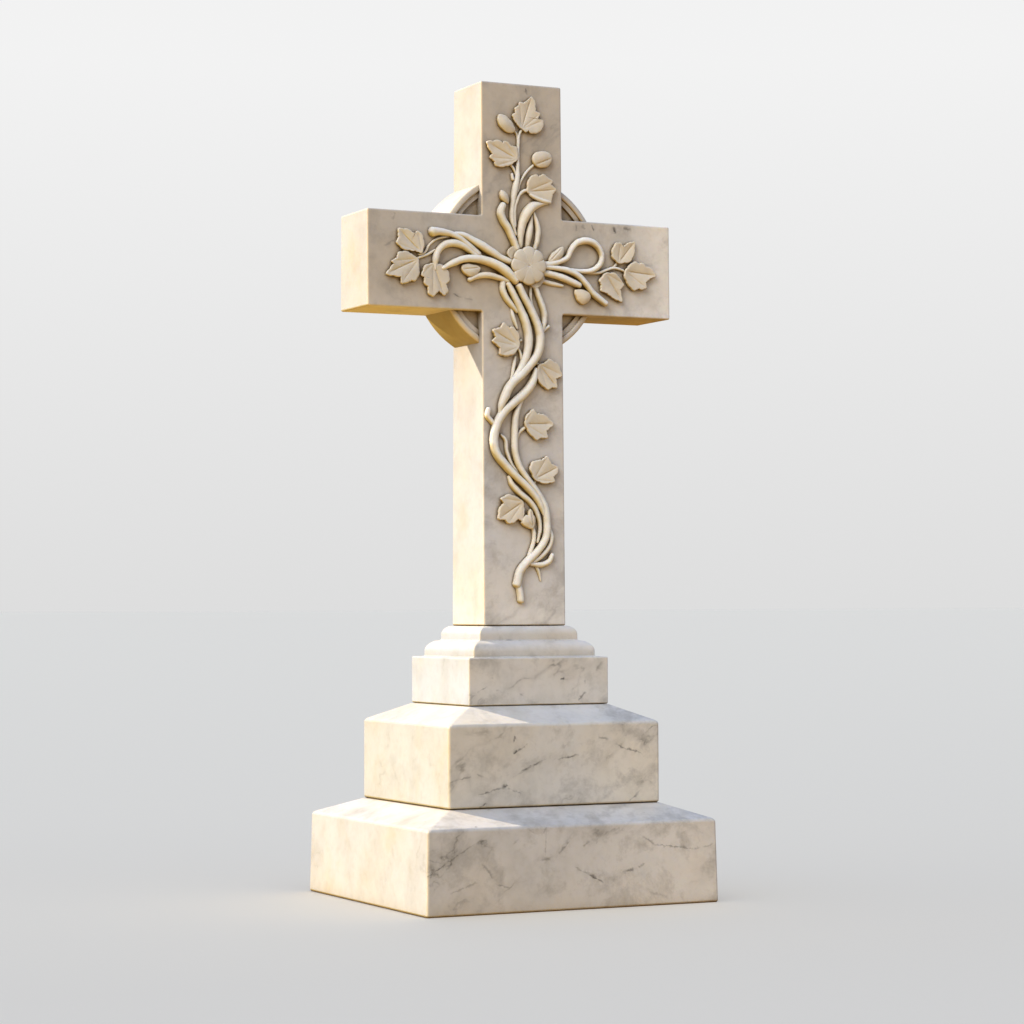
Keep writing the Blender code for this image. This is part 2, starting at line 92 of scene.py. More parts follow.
# heights of the beds
MIDDLE_BASE = LOWER_SIDE + LOWER_SLOPE
DIE_BASE = MIDDLE_BASE + MIDDLE_SIDE + MIDDLE_SLOPE
CROSS_BASE = DIE_BASE + DIE_HEIGHT + LOWER_FILLET + SHOULDER_DROP + UPPER_FILLET + OVOLO
CROSS_TOP = CROSS_BASE + CROSS_HEIGHT
CENTRE = CROSS_BASE + ARM_RISE

# relief
STEM_STEP = 4.0                 # drawn distance between a stem's sections
STEM_FACETS = 16
STEM_WAVES = 75.0               # per metre
STEM_UNEVEN = 0.0022
LEAF_RIM = 0.0096               # a leaf's height at its rim
LEAF_CROWN = 0.0086             # a leaf is slightly hollow
BUD_CROWN = 0.0140
LEAF_NOSE = 0.0048              # height of the round over its edge
LEAF_NOSE_CURVE = ((0.985, 1.0), (1.0, 0.62), (0.998, 0.34), (0.987, 0.12), (0.970, 0.02))
LEAF_RINGS = 26                 # between the rim and the crown
LEAF_UNDERCUT = 0.10
LEAF_SINK = 0.003
LEAF_CREASE = 0.0013
SIDE_CREASE = 0.0006             # along the other veins
LEAF_VALLEY = 0.0011            # along the middle vein
VALLEY_WIDTH = 12.0             # drawn
CREASE_WIDTH = 1.3              # drawn
LOBE_SWELL = 0.0006             # between two veins
LOBE_WIDTH = 5.0                # drawn
RIM_BULGE = 0.11
RIM_STEPS = 8
TOOTHED_SIDE = 11.0             # drawn; a longer side has two teeth
ROSETTE_CENTRE = (7, -3)
ROSETTE_PETALS = 8
ROSETTE_RADIUS = 0.0425
ROSETTE_TOP = 0.0225

# The vine is drawn in millimetres from the crossing's centre, on a face of these sizes.
DRAWN_HALF_WIDTH = 99
DRAWN_HALF_SPAN = 367.5
DRAWN_HALF_ARM = 105
DRAWN_HEAD = 399
DRAWN_FOOT = 788

STEMS = {
    "leader": (3, [(-19, 66, 9), (-27, 96, 12), (-26, 130, 12), (-20, 160, 15), (-14, 188, 13), (-12, 215, 10),
                   (-11, 255, 8), (-8, 284, 7), (2, 302, 6)]),
    "pod stalk": (2, [(-10, 272, 6), (-14, 288, 6), (-24, 296, 6)]),
    "hooked stem": (6, [(-17, 34, 16), (-28, 58, 17), (-38, 78, 18), (-50, 95, 18), (-56, 113, 18), (-50, 129, 15)]),
    "stem of the head's right leaf": (4, [(-20, 84, 8), (-21, 118, 8), (-16, 138, 8), (-9, 153, 8), (3, 163, 8),
                                          (18, 165, 6)]),
    "folded stalk": (2, [(-8, 38, 13), (-7, 66, 18), (-2, 90, 21), (8, 112, 24), (23, 129, 22), (44, 137, 13),
                         (62, 140, 6)]),
    "folded lip": (7, [(16, 156, 6), (30, 149, 9), (48, 144, 10), (66, 142, 7)]),
    "leader's nub": (3, [(-24, 187, 8), (-26, 198, 7)]),
    "left blade": (1, [(10, 40, 12), (15, 70, 18), (20, 95, 12), (24, 112, 5)]),
    "right blade": (4, [(28, 36, 10), (35, 60, 13), (36, 84, 13), (27, 116, 6)]),
    "stalk of the head's bud": (2, [(-12, 160, 6), (-5, 182, 6), (8, 203, 6), (28, 222, 6)]),
    "left leaf stalk": (3, [(-15, 196, 6), (-24, 213, 7), (-42, 229, 6)]),
    "knobbed stem": (6, [(-219, 61, 22), (-202, 62, 17), (-178, 59, 14), (-156, 51, 15), (-134, 35, 16), (-110, 17, 15)]),
    "upper left stem": (7, [(-166, 60, 8), (-146, 57, 14), (-122, 46, 17), (-100, 35, 20), (-78, 23, 20),
                            (-56, 11, 17), (-28, 3, 15)]),
    "looping left stem": (6, [(-213, -20, 7), (-212, 0, 15), (-205, 20, 15), (-188, 35, 16), (-165, 39, 17),
                              (-142, 32, 16), (-120, 18, 14), (-96, 8, 12)]),
    "main left stem": (9, [(-196, -18, 9), (-172, -5, 15), (-146, 5, 16), (-118, 7, 18), (-90, 3, 20), (-66, -5, 22),
                           (-44, -18, 24), (-22, -36, 21)]),
    "split stem": (6, [(-132, -39, 11), (-112, -30, 13), (-86, -27, 14), (-58, -32, 13), (-38, -38, 11)]),
    "stalk of the upper left leaf": (2, [(-250, 10, 5), (-236, 15, 6), (-224, 33, 6), (-205, 47, 6), (-178, 53, 6)]),
    "stalk of the left leaf": (2, [(-268, -8, 5), (-248, 4, 6), (-230, 11, 6), (-211, 22, 6)]),
    "loop": (7, [(40, 2, 13), (66, 5, 14), (90, 12, 13), (108, 22, 13), (117, 40, 13), (131, 55, 14), (150, 61, 16),
                 (168, 59, 16), (184, 48, 15), (193, 28, 13), (186, 8, 13), (166, -5, 12), (138, -8, 11),
                 (116, -6, 9)]),
    "long cut stem": (9, [(42, -3, 11), (80, -4, 12), (108, -8, 14), (134, -19, 15), (152, -36, 15), (172, -58, 15),
                          (200, -77, 14)]),
    "short cut stem": (6, [(40, -14, 15), (70, -18, 16), (104, -27, 17), (136, -39, 15)]),
    "low stem": (1, [(40, -31, 12), (68, -37, 12), (98, -41, 8)]),
    "stem of the right leaves": (3, [(158, -10, 7), (186, -8, 8), (204, -2, 8), (222, 4, 7), (240, 2, 7), (262, -6, 5)]),
    "stalk of the notched leaf": (2, [(220, 3, 6), (229, 11, 6), (238, 24, 5)]),
    "outer left strand": (3, [(-50, -36, 14), (-51, -56, 15), (-44, -72, 15), (-31, -88, 14), (-16, -103, 10)]),
    "inner left strand": (5, [(-38, -44, 15), (-26, -66, 17), (-12, -92, 18), (2, -122, 20), (10, -152, 20),
                              (9, -184, 20), (-2, -216, 18), (-20, -246, 16), (-34, -262, 14)]),
    "middle strand": (8, [(-14, -46, 17), (-2, -70, 18), (15, -98, 19), (31, -132, 20), (38, -160, 21), (31, -194, 20),
                          (10, -222, 20), (-14, -246, 20), (-36, -266, 20), (-49, -290, 20), (-58, -310, 15),
                          (-62, -330, 7)]),
    "right strand": (5, [(26, -44, 12), (36, -68, 14), (46, -92, 15), (50, -116, 14), (44, -144, 12)]),
    "right strand's nub": (5, [(46, -143, 9), (60, -133, 8)]),
    "left shaft leaf's nub": (3, [(-15, -170, 6), (-7, -166, 7)]),
    "thin strand": (3, [(19, -44, 7), (17, -70, 8), (22, -94, 8), (31, -112, 6)]),
    "faint strand": (0, [(-28, -97, 6), (-24, -116, 11), (-15, -140, 8)]),
    "stalk of the left shaft leaf": (4, [(-34, -172, 5), (-20, -178, 6), (-10, -192, 7), (-6, -208, 6)]),
    "blade under it": (2, [(-20, -202, 6), (-24, -222, 9), (-30, -252, 7)]),
    "sweeping strand": (7, [(27, -228, 10), (20, -254, 18), (2, -279, 20), (-25, -301, 20), (-50, -322, 20),
                            (-68, -350, 20), (-76, -384, 20), (-70, -414, 20), (-50, -438, 19), (-26, -461, 18),
                            (2, -485, 18), (26, -510, 17), (41, -537, 12), (49, -556, 4)]),
    "left hook": (4, [(-87, -319, 12), (-89, -334, 13), (-77, -348, 12)]),
    "right long strand": (5, [(-4, -292, 8), (-13, -308, 12), (-22, -334, 15), (-25, -380, 16), (-24, -412, 16), (-12, -446, 17),
                              (8, -473, 17), (30, -500, 17), (46, -528, 18), (52, -562, 18), (49, -596, 18),
                              (30, -624, 18), (4, -648, 19), (-15, -671, 19), (-22, -698, 20)]),
    "short inner strand": (3, [(-57, -373, 6), (-46, -386, 9), (-43, -410, 10), (-32, -438, 10), (-14, -458, 8)]),
    "lower strand": (3, [(-38, -464, 9), (-31, -481, 14), (-12, -500, 15), (14, -520, 15), (29, -544, 14),
                         (36, -574, 10), (29, -606, 8)]),
    "stalk of the upper right shaft leaf": (3, [(-20, -382, 8), (-11, -365, 8), (10, -352, 7)]),
    "stalk of the right shaft leaf": (3, [(25, -214, 7), (36, -218, 8), (48, -226, 6)]),
    "stalk of the lower right shaft leaf": (3, [(28, -494, 6), (23, -480, 6), (30, -462, 6)]),
    "stalk of the lowest leaf": (4, [(13, -566, 8), (21, -586, 10), (19, -608, 10), (8, -636, 9)]),
    "outer right strand": (4, [(59, -577, 8), (63, -594, 12), (57, -616, 12), (38, -636, 12), (14, -652, 10)]),
    "curled end": (5, [(64, -634, 11), (56, -648, 13), (36, -655, 12), (12, -653, 10)]),
    "spur": (1, [(28, -660, 9), (34, -675, 8), (38, -690, 4)]),
    "cut end": (3, [(-19, -694, 16), (-14, -714, 17), (-12, -733, 17)]),
}

# A leaf's rim, in the same millimetres; the point before it is its crown.
LEAVES = {
    "head": ((8, 326), [(-3, 298), (-12, 304), (-22, 315), (-27, 328), (-19, 333), (-20, 344), (-10, 350), (-8, 358),
                        (1, 356), (12, 363), (22, 372), (30, 362), (31, 340), (43, 336), (36, 323), (50, 321),
                        (51, 309), (45, 298), (34, 291), (18, 290), (13, 296), (6, 291)]),
    "head's pod": ((-42, 307), [(-19, 293), (-32, 287), (-50, 294), (-62, 311), (-60, 326), (-50, 327), (-35, 318),
                                (-23, 304)]),
    "head's left": ((-48, 241), [(-14, 230), (-13, 247), (-16, 258), (-30, 260), (-38, 268), (-47, 269), (-51, 264),
                                 (-58, 270), (-90, 265), (-85, 250), (-76, 239), (-83, 231), (-71, 222), (-69, 213),
                                 (-55, 211), (-32, 217)]),
    "head's bud": ((45, 234), [(27, 221), (22, 236), (28, 247), (37, 251), (64, 250), (71, 239), (64, 223),
                               (48, 216)]),
    "head's right": ((42, 172), [(8, 161), (10, 184), (18, 196), (31, 201), (37, 197), (50, 203), (62, 195),
                                 (73, 190), (68, 181), (82, 170), (72, 159), (68, 140), (44, 141), (24, 150)]),
    "hooked bud": ((-48, 147), [(-38, 132), (-50, 136), (-58, 150), (-55, 161), (-45, 157), (-38, 147)]),
    "left's upper": ((-270, 38), [(-244, 12), (-238, 32), (-244, 55), (-254, 61), (-261, 53), (-275, 63), (-300, 64),
                                  (-299, 44), (-305, 33), (-288, 18), (-260, 17)]),
    "left's end": ((-284, -21), [(-252, 0), (-264, 7), (-281, 16), (-300, 12), (-303, 0), (-316, -8), (-310, -13),
                                 (-329, -37), (-294, -41), (-293, -56), (-280, -54), (-269, -48), (-260, -49),
                                 (-250, -33), (-251, -17)]),
    "left's lower": ((-211, -43), [(-218, -7), (-238, -13), (-247, -36), (-239, -38), (-240, -53), (-231, -59),
                                   (-230, -76), (-219, -81), (-205, -67), (-192, -78), (-182, -68), (-188, -52),
                                   (-179, -44), (-181, -25), (-196, -10)]),
    "left's hidden": ((-129, -18), [(-106, -12), (-124, -6), (-150, -8), (-152, -18), (-140, -30), (-126, -33),
                                    (-110, -22)]),
    "right's bud": ((82, 28), [(60, 8), (64, 21), (80, 36), (96, 45), (98, 34), (90, 18), (74, 10)]),
    "right's notched": ((246, 38), [(233, 14), (218, 26), (217, 43), (228, 61), (239, 62), (246, 53), (260, 63),
                                    (276, 66), (274, 38), (263, 19)]),
    "right's end": ((283, -12), [(249, -2), (263, 15), (276, 22), (286, 17), (296, 19), (302, 12), (316, 9),
                                 (330, -9), (314, -15), (302, -25), (304, -38), (292, -43), (284, -40), (271, -46),
                                 (256, -33), (247, -14)]),
    "right's lower": ((214, -36), [(200, -8), (226, -7), (238, -19), (248, -33), (238, -44), (243, -73), (222, -66),
                                   (203, -54), (188, -50), (189, -36), (184, -26)]),
    "right's small": ((145, -66), [(125, -49), (127, -66), (134, -77), (145, -82), (163, -67), (160, -54)]),
    "shaft's left": ((-44, -167), [(-12, -180), (-14, -152), (-28, -137), (-37, -140), (-51, -128), (-59, -140),
                                   (-79, -146), (-71, -162), (-80, -170), (-61, -185), (-62, -200), (-46, -203),
                                   (-26, -198)]),
    "shaft's right": ((56, -238), [(34, -217), (47, -214), (60, -204), (82, -215), (92, -241), (76, -248), (79, -269),
                                   (66, -268), (56, -274), (38, -262), (23, -241)]),
    "shaft's upper right": ((32, -352), [(-2, -349), (1, -332), (19, -315), (28, -325), (48, -327), (71, -347),
                                         (51, -363), (55, -379), (37, -379), (27, -385), (8, -369)]),
    "shaft's lower right": ((44, -450), [(20, -470), (9, -446), (15, -431), (30, -427), (40, -426), (53, -417),
                                         (63, -434), (80, -441), (79, -454), (67, -464), (72, -474), (44, -479)]),
    "shaft's lowest": ((-32, -536), [(-6, -518), (-24, -507), (-42, -502), (-62, -512), (-54, -522), (-65, -533),
                                     (-68, -558), (-52, -558), (-44, -567), (-29, -565), (-20, -556), (-8, -562),
                                     (-4, -540)]),
    "shaft's lowest bud": ((9, -560), [(16, -577), (0, -574), (-12, -565), (-4, -548), (4, -547), (10, -533),
                                       (17, -545), (22, -558)]),
    "rosette's upper sepal": ((-28, 25), [(-14, 20), (-22, 40), (-32, 37), (-41, 24), (-38, 14), (-28, 10)]),
    "rosette's lower sepal": ((33, -34), [(24, -22), (14, -46), (27, -51), (41, -42), (49, -28), (44, -16)]),
}

LEAF_PLACES = ("head", "hooked", "left", "right", "shaft", "rosette")
PODS = ("head's pod", "hooked bud", "right's small")
BUDS = ("head's bud", "left's hidden", "right's bud", "shaft's lowest bud")

# Camera and lights
CAMERA_PLACE = (-2.7401, -5.59491, 0.63785)
CAMERA_YAW = 0.45668            # from +Y towards +X
CAMERA_PITCH = 0.03355
CAMERA_ROLL = -0.00329
CAMERA_LENS = 99.03
SUN_TRAVEL = (1.0, -0.68, -0.68)
FLOOR_REACH = 400.0
FLOOR_FADE = 4.5                # distance from the eye at which the floor is at its darkest

# light, as linear colours
HORIZON_GLOW = (0.44, 0.44, 0.42, 1.0)
ZENITH_GLOW = (0.27, 0.37, 0.58, 1.0)
GROUND_GLOW = (0.80, 0.54, 0.24, 1.0)
GROUND_SHADE = (0.32, 0.21, 0.09, 1.0)

# marble
VEIN_SLOPE = math.radians(35)   # of the veins, as the front shows them

MARK_WANDER = 0.012             # how far the marks stray from a straight line
MARK_CLOUD = 4.5                # how many times wider than a mark its grey cloud is

# Dark marks on the front faces: both ends across and up in metres, the half width in millimetres, how dark.
CROSS_MARKS = (
    ((0.012, 1.775), (0.013, 1.768), 4, 0.95), ((0.134, 1.482), (0.136, 1.473), 4, 0.85),
    ((0.151, 1.482), (0.153, 1.477), 4, 0.6), ((0.174, 1.482), (0.176, 1.475), 4, 0.65),
    ((0.229, 1.481), (0.231, 1.474), 5, 0.7), ((0.256, 1.482), (0.268, 1.480), 5, 0.5),
    ((-0.166, 1.315), (-0.150, 1.310), 2, 0.7), ((-0.150, 1.310), (-0.122, 1.307), 2, 0.7),
    ((-0.306, 1.481), (-0.309, 1.474), 6, 0.35), ((-0.330, 1.414), (-0.308, 1.425), 4, 0.3),
    ((-0.080, 0.775), (-0.070, 0.772), 6, 0.25), ((0.064, 1.214), (0.067, 1.186), 4, 0.2),
    ((-0.089, 0.636), (-0.080, 0.640), 7, 0.25))
DIE_MARKS = (
    ((-0.120, 0.487), (-0.112, 0.486), 3, 0.6), ((-0.148, 0.455), (-0.122, 0.469), 3, 0.5),
    ((-0.104, 0.459), (-0.086, 0.454), 3, 0.4), ((-0.045, 0.449), (-0.039, 0.446), 4, 0.6),
    ((0.052, 0.481), (0.058, 0.480), 3, 0.9), ((0.111, 0.475), (0.112, 0.471), 3, 0.4),
    ((0.095, 0.434), (0.111, 0.450), 3, 0.5), ((0.140, 0.501), (0.156, 0.517), 5, 0.35),
    ((-0.004, 0.516), (0.001, 0.513), 4, 0.4), ((-0.055, 0.563), (-0.043, 0.562), 4, 0.5),
    ((-0.026, 0.564), (-0.020, 0.562), 3, 0.5), ((0.060, 0.562), (0.072, 0.564), 3, 0.7))
UPPER_PLINTH_MARKS = (
    ((-0.099, 0.361), (-0.100, 0.351), 3, 0.9), ((-0.097, 0.328), (-0.069, 0.344), 3, 0.8),
    ((-0.098, 0.328), (-0.094, 0.331), 4, 0.8), ((-0.116, 0.270), (-0.019, 0.315), 2, 0.45),
    ((-0.083, 0.288), (-0.035, 0.310), 2, 0.7), ((0.006, 0.311), (0.052, 0.320), 3, 0.65),
    ((-0.248, 0.270), (-0.202, 0.281), 2, 0.75), ((-0.238, 0.274), (-0.228, 0.277), 3, 0.7),
    ((-0.182, 0.241), (-0.123, 0.257), 2, 0.6), ((-0.125, 0.256), (-0.118, 0.258), 5, 0.95),
    ((-0.123, 0.257), (-0.083, 0.241), 2, 0.5), ((-0.180, 0.216), (-0.166, 0.222), 3, 0.8),
    ((-0.184, 0.284), (-0.173, 0.279), 3, 0.4), ((0.107, 0.356), (0.125, 0.352), 4, 0.45),
    ((0.146, 0.339), (0.209, 0.319), 3, 0.55), ((0.146, 0.340), (0.156, 0.337), 4, 0.6),
    ((0.229, 0.259), (0.237, 0.253), 3, 0.4), ((0.179, 0.217), (0.204, 0.239), 3, 0.5),
    ((-0.210, 0.370), (-0.149, 0.375), 9, 0.22), ((0.010, 0.336), (0.036, 0.346), 8, 0.25))
BOTTOM_PLINTH_MARKS = (
    ((-0.343, 0.084), (-0.300, 0.110), 2, 0.6), ((-0.300, 0.110), (-0.236, 0.147), 2, 0.45),
    ((-0.341, 0.118), (-0.312, 0.111), 2, 0.5), ((-0.115, 0.175), (-0.086, 0.160), 2, 0.5),
    ((-0.069, 0.174), (-0.080, 0.160), 2, 0.45), ((-0.069, 0.174), (-0.072, 0.118), 2, 0.4),
    ((-0.095, 0.107), (-0.068, 0.109), 6, 0.55), ((-0.218, 0.104), (-0.188, 0.071), 4, 0.4),
    ((-0.190, 0.063), (-0.158, 0.054), 3, 0.5), ((-0.001, 0.090), (0.064, 0.055), 3, 0.75),
    ((0.022, 0.080), (0.046, 0.066), 5, 0.5), ((0.116, 0.075), (0.134, 0.079), 5, 0.7),
    ((0.152, 0.085), (0.161, 0.089), 4, 0.45), ((0.160, 0.149), (0.189, 0.130), 3, 0.4),
    ((0.189, 0.130), (0.287, 0.116), 3, 0.45), ((0.287, 0.116), (0.333, 0.125), 3, 0.55),
    ((-0.291, 0.048), (-0.227, 0.069), 4, 0.3),
    ((-0.042, 0.119), (-0.015, 0.143), 3, 0.4), ((0.021, 0.136), (0.029, 0.141), 4, 0.5),
    ((0.179, 0.029), (0.218, 0.017), 5, 0.3))


STONE_SMOOTH = 8                # degrees; a stone's flat faces stay flat up to their rounded edges


# Meshes
def loft(shape, rings, cap=True):
    """Joins closed rings of points, each to the next, and caps the two ends."""
    loops = [[shape.verts.new(point) for point in ring] for ring in rings]
    for low, high in zip(loops, loops[1:]):
        for i in range(len(low)):
            j = (i + 1) % len(low)
            shape.faces.new((low[i], low[j], high[j], high[i]))
    if cap:
        shape.faces.new(loops[0][::-1])
        shape.faces.new(loops[-1])
    return loops


def soften(shape, width, segments=3, angle=40):
    """Rounds every edge that is sharper than the angle."""
    shape.normal_update()
    sharp = [e for e in shape.edges if e.calc_face_angle(0.0) > math.radians(angle)]
    bmesh.ops.bevel(shape, geom=sharp, offset=width, segments=segments, profile=0.5, affect="EDGES",
                    clamp_overlap=True)


def finished(name, shape, material, smooth_angle=None):
    """Turns a bmesh into a piece of the part."""
    bmesh.ops.recalc_face_normals(shape, faces=shape.faces)
    mesh = bpy.data.meshes.new(name)
    shape.to_mesh(mesh)
    shape.free()
    mesh.materials.append(material)
    if smooth_angle:
        mesh.shade_smooth()
        mesh.set_sharp_from_angle(angle=math.radians(smooth_angle))
    obj = bpy.data.objects.new(name, mesh)
    bpy.context.scene.collection.objects.link(obj)
    return obj


def half_width(z):
    return (SHAFT_WIDTH - WIDTH_TAPER * (z - CROSS_BASE) / CROSS_HEIGHT) / 2


def half_depth(z):
    return (SHAFT_DEPTH - DEPTH_TAPER * (z - CROSS_BASE) / CROSS_HEIGHT) / 2


def rectangle(wide, deep, z):
    return [(-wide, -deep, z), (wide, -deep, z), (wide, deep, z), (-wide, deep, z)]


def quarter(out, rise):
    angles = [math.pi / 2 * i / ROUND_STEPS for i in range(1, ROUND_STEPS + 1)]
    return [(out * (1 - math.cos(a)), rise * math.sin(a)) for a in angles]


def die_half_sizes():
    spread = OVOLO + SHOULDER_OUT + DIE_LEDGE
    return SHAFT_WIDTH / 2 + spread, SHAFT_DEPTH / 2 + spread


def die_block(material):
    wide, deep = die_half_sizes()
    z = DIE_BASE + DIE_HEIGHT
    inset = DIE_LEDGE
    profile = [(0.0, DIE_BASE + BED_GAP), (0.0, z), (inset, z), (inset, z + LOWER_FILLET)]
    z += LOWER_FILLET
    profile += [(inset + out, z + rise) for out, rise in quarter(SHOULDER_OUT, SHOULDER_DROP)]
    inset, z = inset + SHOULDER_OUT, z + SHOULDER_DROP
    profile.append((inset, z + UPPER_FILLET))
    z += UPPER_FILLET
    profile += [(inset + out, z + rise) for out, rise in quarter(OVOLO, OVOLO)]
    shape = bmesh.new()
    loft(shape, [rectangle(wide - inset, deep - inset, z) for inset, z in profile])
    soften(shape, DIE_ARRIS)
    return finished("die_block", shape, material, STONE_SMOOTH)


def plinth(name, material, foot, side_top, top, seat, batter=0.0):
    wide, deep, base = foot
    shape = bmesh.new()
    loft(shape, [rectangle(wide, deep, base), rectangle(wide - batter, deep - batter, side_top),
                 rectangle(*seat, top)])
    soften(shape, PLINTH_ARRIS, angle=10)
    return finished(name, shape, material, STONE_SMOOTH)


def inner_corner(x, z, away_x, away_z, steps=3):
    """The small hollow round where an arm meets the shaft, from the shaft's side to the arm's."""
    centre = Vector((x + away_x * CORNER_RADIUS, z + away_z * CORNER_RADIUS))
    start = math.atan2(0.0, -away_x)
    turn = math.pi / 2 * away_x * away_z
    return [(centre.x + CORNER_RADIUS * math.cos(start + turn * i / steps),
             centre.y + CORNER_RADIUS * math.sin(start + turn * i / steps)) for i in range(steps + 1)]


def cross_outline():
    low, high = CENTRE - ARM_HEIGHT / 2, CENTRE + ARM_HEIGHT / 2
    span, foot = ARM_SPAN / 2, CROSS_BASE + BED_GAP
    right = [(half_width(foot), foot)]
    right += inner_corner(half_width(low), low, 1, -1)
    right += [(span, low), (span, high)]
    right += inner_corner(half_width(high), high, 1, 1)[::-1]
    right.append((half_width(CROSS_TOP), CROSS_TOP))
    return right + [(-x, z) for x, z in reversed(right)]


def ring_points(radius, y):
    turns = [2 * math.pi * i / RING_SEGMENTS for i in range(RING_SEGMENTS)]
    return [(radius * math.cos(t), y, CENTRE + radius * math.sin(t)) for t in turns]


def united(name, first, second, smooth_angle):
    """One closed mesh of two overlapping pieces."""
    union = first.modifiers.new("union", "BOOLEAN")
    union.operation = "UNION"
    union.object = second
    bpy.context.view_layer.update()
    graph = bpy.context.evaluated_depsgraph_get()
    mesh = bpy.data.meshes.new_from_object(first.evaluated_get(graph), depsgraph=graph)
    for piece in (first, second):
        bpy.data.objects.remove(piece, do_unlink=True)
    mesh.name = name
    mesh.shade_smooth()
    mesh.set_sharp_from_angle(angle=math.radians(smooth_angle))
    obj = bpy.data.objects.new(name, mesh)
    bpy.context.scene.collection.objects.link(obj)
    return obj


def cross_block(material):
    """Cross and ring, which are one stone."""
    shape = bmesh.new()
    outline = cross_outline()
    loft(shape, [[(x, side * half_depth(z), z) for x, z in outline] for side in (-1, 1)])
    soften(shape, CROSS_ARRIS)
    cross = finished("cross", shape, material)
    front = -half_depth(CENTRE) + RING_SET_BACK
    back = half_depth(CENTRE) - RING_BACK_STEP
    outer = RING_RADIUS - RING_ARRIS
    turns = [math.pi / 2 * i / ROUND_STEPS for i in range(ROUND_STEPS + 1)]
    crown = RIM_STEP_RADIUS + BAND_LEAN * 2
    profile = [(outer, back), (RING_RADIUS, back - RING_ARRIS)]
    profile += [(crown + (RING_RADIUS - crown) * math.cos(t), front + RIM_ROUND * (1 - math.sin(t))) for t in turns]
    profile += [(RIM_STEP_RADIUS, front + BAND_LEAN), (RIM_STEP_RADIUS - BAND_LEAN, front + RIM_STEP),
               (PANEL_RADIUS, front + RIM_STEP), (PANEL_RADIUS - BAND_LEAN, front + PANEL_DEPTH)]
    shape = bmesh.new()
    loft(shape, [ring_points(radius, y) for radius, y in profile])
    return united("cross_block", cross, finished("ring", shape, material), STONE_SMOOTH)


# The drawing on the face
def stretched(value, drawn_near, near, drawn_far, far):
    size = abs(value)
    if size <= drawn_near:
        return value * near / drawn_near
    return math.copysign(near + (size - drawn_near) * (far - near) / (drawn_far - drawn_near), value)


def on_face(across, up, lift):
    """The real place of a drawn point that stands off the face by the lift in metres."""
    drawn_far, far = (DRAWN_HEAD, CROSS_TOP - CENTRE) if up > 0 else (DRAWN_FOOT, ARM_RISE)
    z = CENTRE + stretched(up, DRAWN_HALF_ARM, ARM_HEIGHT / 2, drawn_far, far)
    x = stretched(across, DRAWN_HALF_WIDTH, half_width(z), DRAWN_HALF_SPAN, ARM_SPAN / 2)
    return Vector((x, -half_depth(z) - lift, z))


def smooth_through(points, step):
    """Points along a Catmull-Rom curve through the given ones; each may carry further values."""
    points = [Vector(p) for p in points]
    ends = [points[0] * 2 - points[1]] + points + [points[-1] * 2 - points[-2]]
    result = []
    for a, b, c, d in zip(ends, ends[1:], ends[2:], ends[3:]):
        count = max(1, round((c - b).length / step))
        for i in range(count):
            t = i / count
            result.append(0.5 * (2 * b + (c - a) * t + (2 * a - 5 * b + 4 * c - d) * t ** 2
                                 + (3 * b - a - 3 * c + d) * t ** 3))
    return result + [points[-1]]


class Recipe:
    """Writes nodes into a tree: node() adds one, and put() fills a socket with a link or a plain value."""

    def __init__(self, tree):
        self.tree = tree

    def put(self, socket, value):
        if isinstance(value, Amount):
            self.tree.links.new(value.socket, socket)
        elif isinstance(value, bpy.types.NodeSocket):
            self.tree.links.new(value, socket)
        else:
            socket.default_value = value

    def node(self, kind, settings=None, inputs=None, output=0):
        node = self.tree.nodes.new(kind)
        for key, value in (settings or {}).items():
            if key == "stops":
                self.set_stops(node.color_ramp, value)
            else:
                setattr(node, key, value)
        for key, value in (inputs or {}).items():
            self.put(node.inputs[key], value)
        return Amount(self, node.outputs[output])

    def math(self, operation, *values, clamp=False):
        return self.node("ShaderNodeMath", {"operation": operation, "use_clamp": clamp}, dict(enumerate(values)))

    @staticmethod
    def set_stops(ramp, stops):
        while len(ramp.elements) < len(stops):
            ramp.elements.new(0.5)
        for element, (position, value) in zip(ramp.elements, stops):
            element.position = position
            element.color = (value, value, value, 1.0)


class Amount:
    """A number that varies over the stone; arithmetic on it adds Math nodes."""

    def __init__(self, recipe, socket):
        self.recipe, self.socket = recipe, socket

    def math(self, operation, *values, clamp=False):
        return self.recipe.math(operation, *values, clamp=clamp)

    def __add__(self, other):
        return self.math("ADD", self, other)

    __radd__ = __add__

    def __sub__(self, other):
        return self.math("SUBTRACT", self, other)

    def __rsub__(self, other):
        return self.math("SUBTRACT", other, self)

    def __mul__(self, other):
        return self.math("MULTIPLY", self, other)

    __rmul__ = __mul__

    def __truediv__(self, other):
        return self.math("DIVIDE", self, other)

    def __rtruediv__(self, other):
        return self.math("DIVIDE", other, self)

    def __abs__(self):
        return self.math("ABSOLUTE", self)

    def limited(self):
        return self.math("ADD", self, 0.0, clamp=True)

    def to_power(self, exponent):
        return self.math("POWER", self, exponent)


def stem_route(lift, points):
    """Middles and radii along a stem, which draws in to a round at each end."""
    scale = half_width(CENTRE) / DRAWN_HALF_WIDTH
    route = smooth_through(points, STEM_STEP)
    middles = [on_face(x, z, lift * scale) for x, z, _ in route]
    radii = [width * scale / 2 for _, _, width in route]
    for index, inner in ((0, 1), (-1, -2)):
        outwards = (middles[index] - middles[inner]).normalized()
        middle, radius = middles[index], radii[index]
        ends = [(middle + outwards * radius * 0.8 * t, radius * math.sqrt(1 - t * t)) for t in (0.35, 0.65, 0.85, 0.97)]
        if index == 0:
            ends.reverse()
            middles, radii = [m for m, _ in ends] + middles, [r for _, r in ends] + radii
        else:
            middles, radii = middles + [m for m, _ in ends], radii + [r for _, r in ends]
    return middles, radii


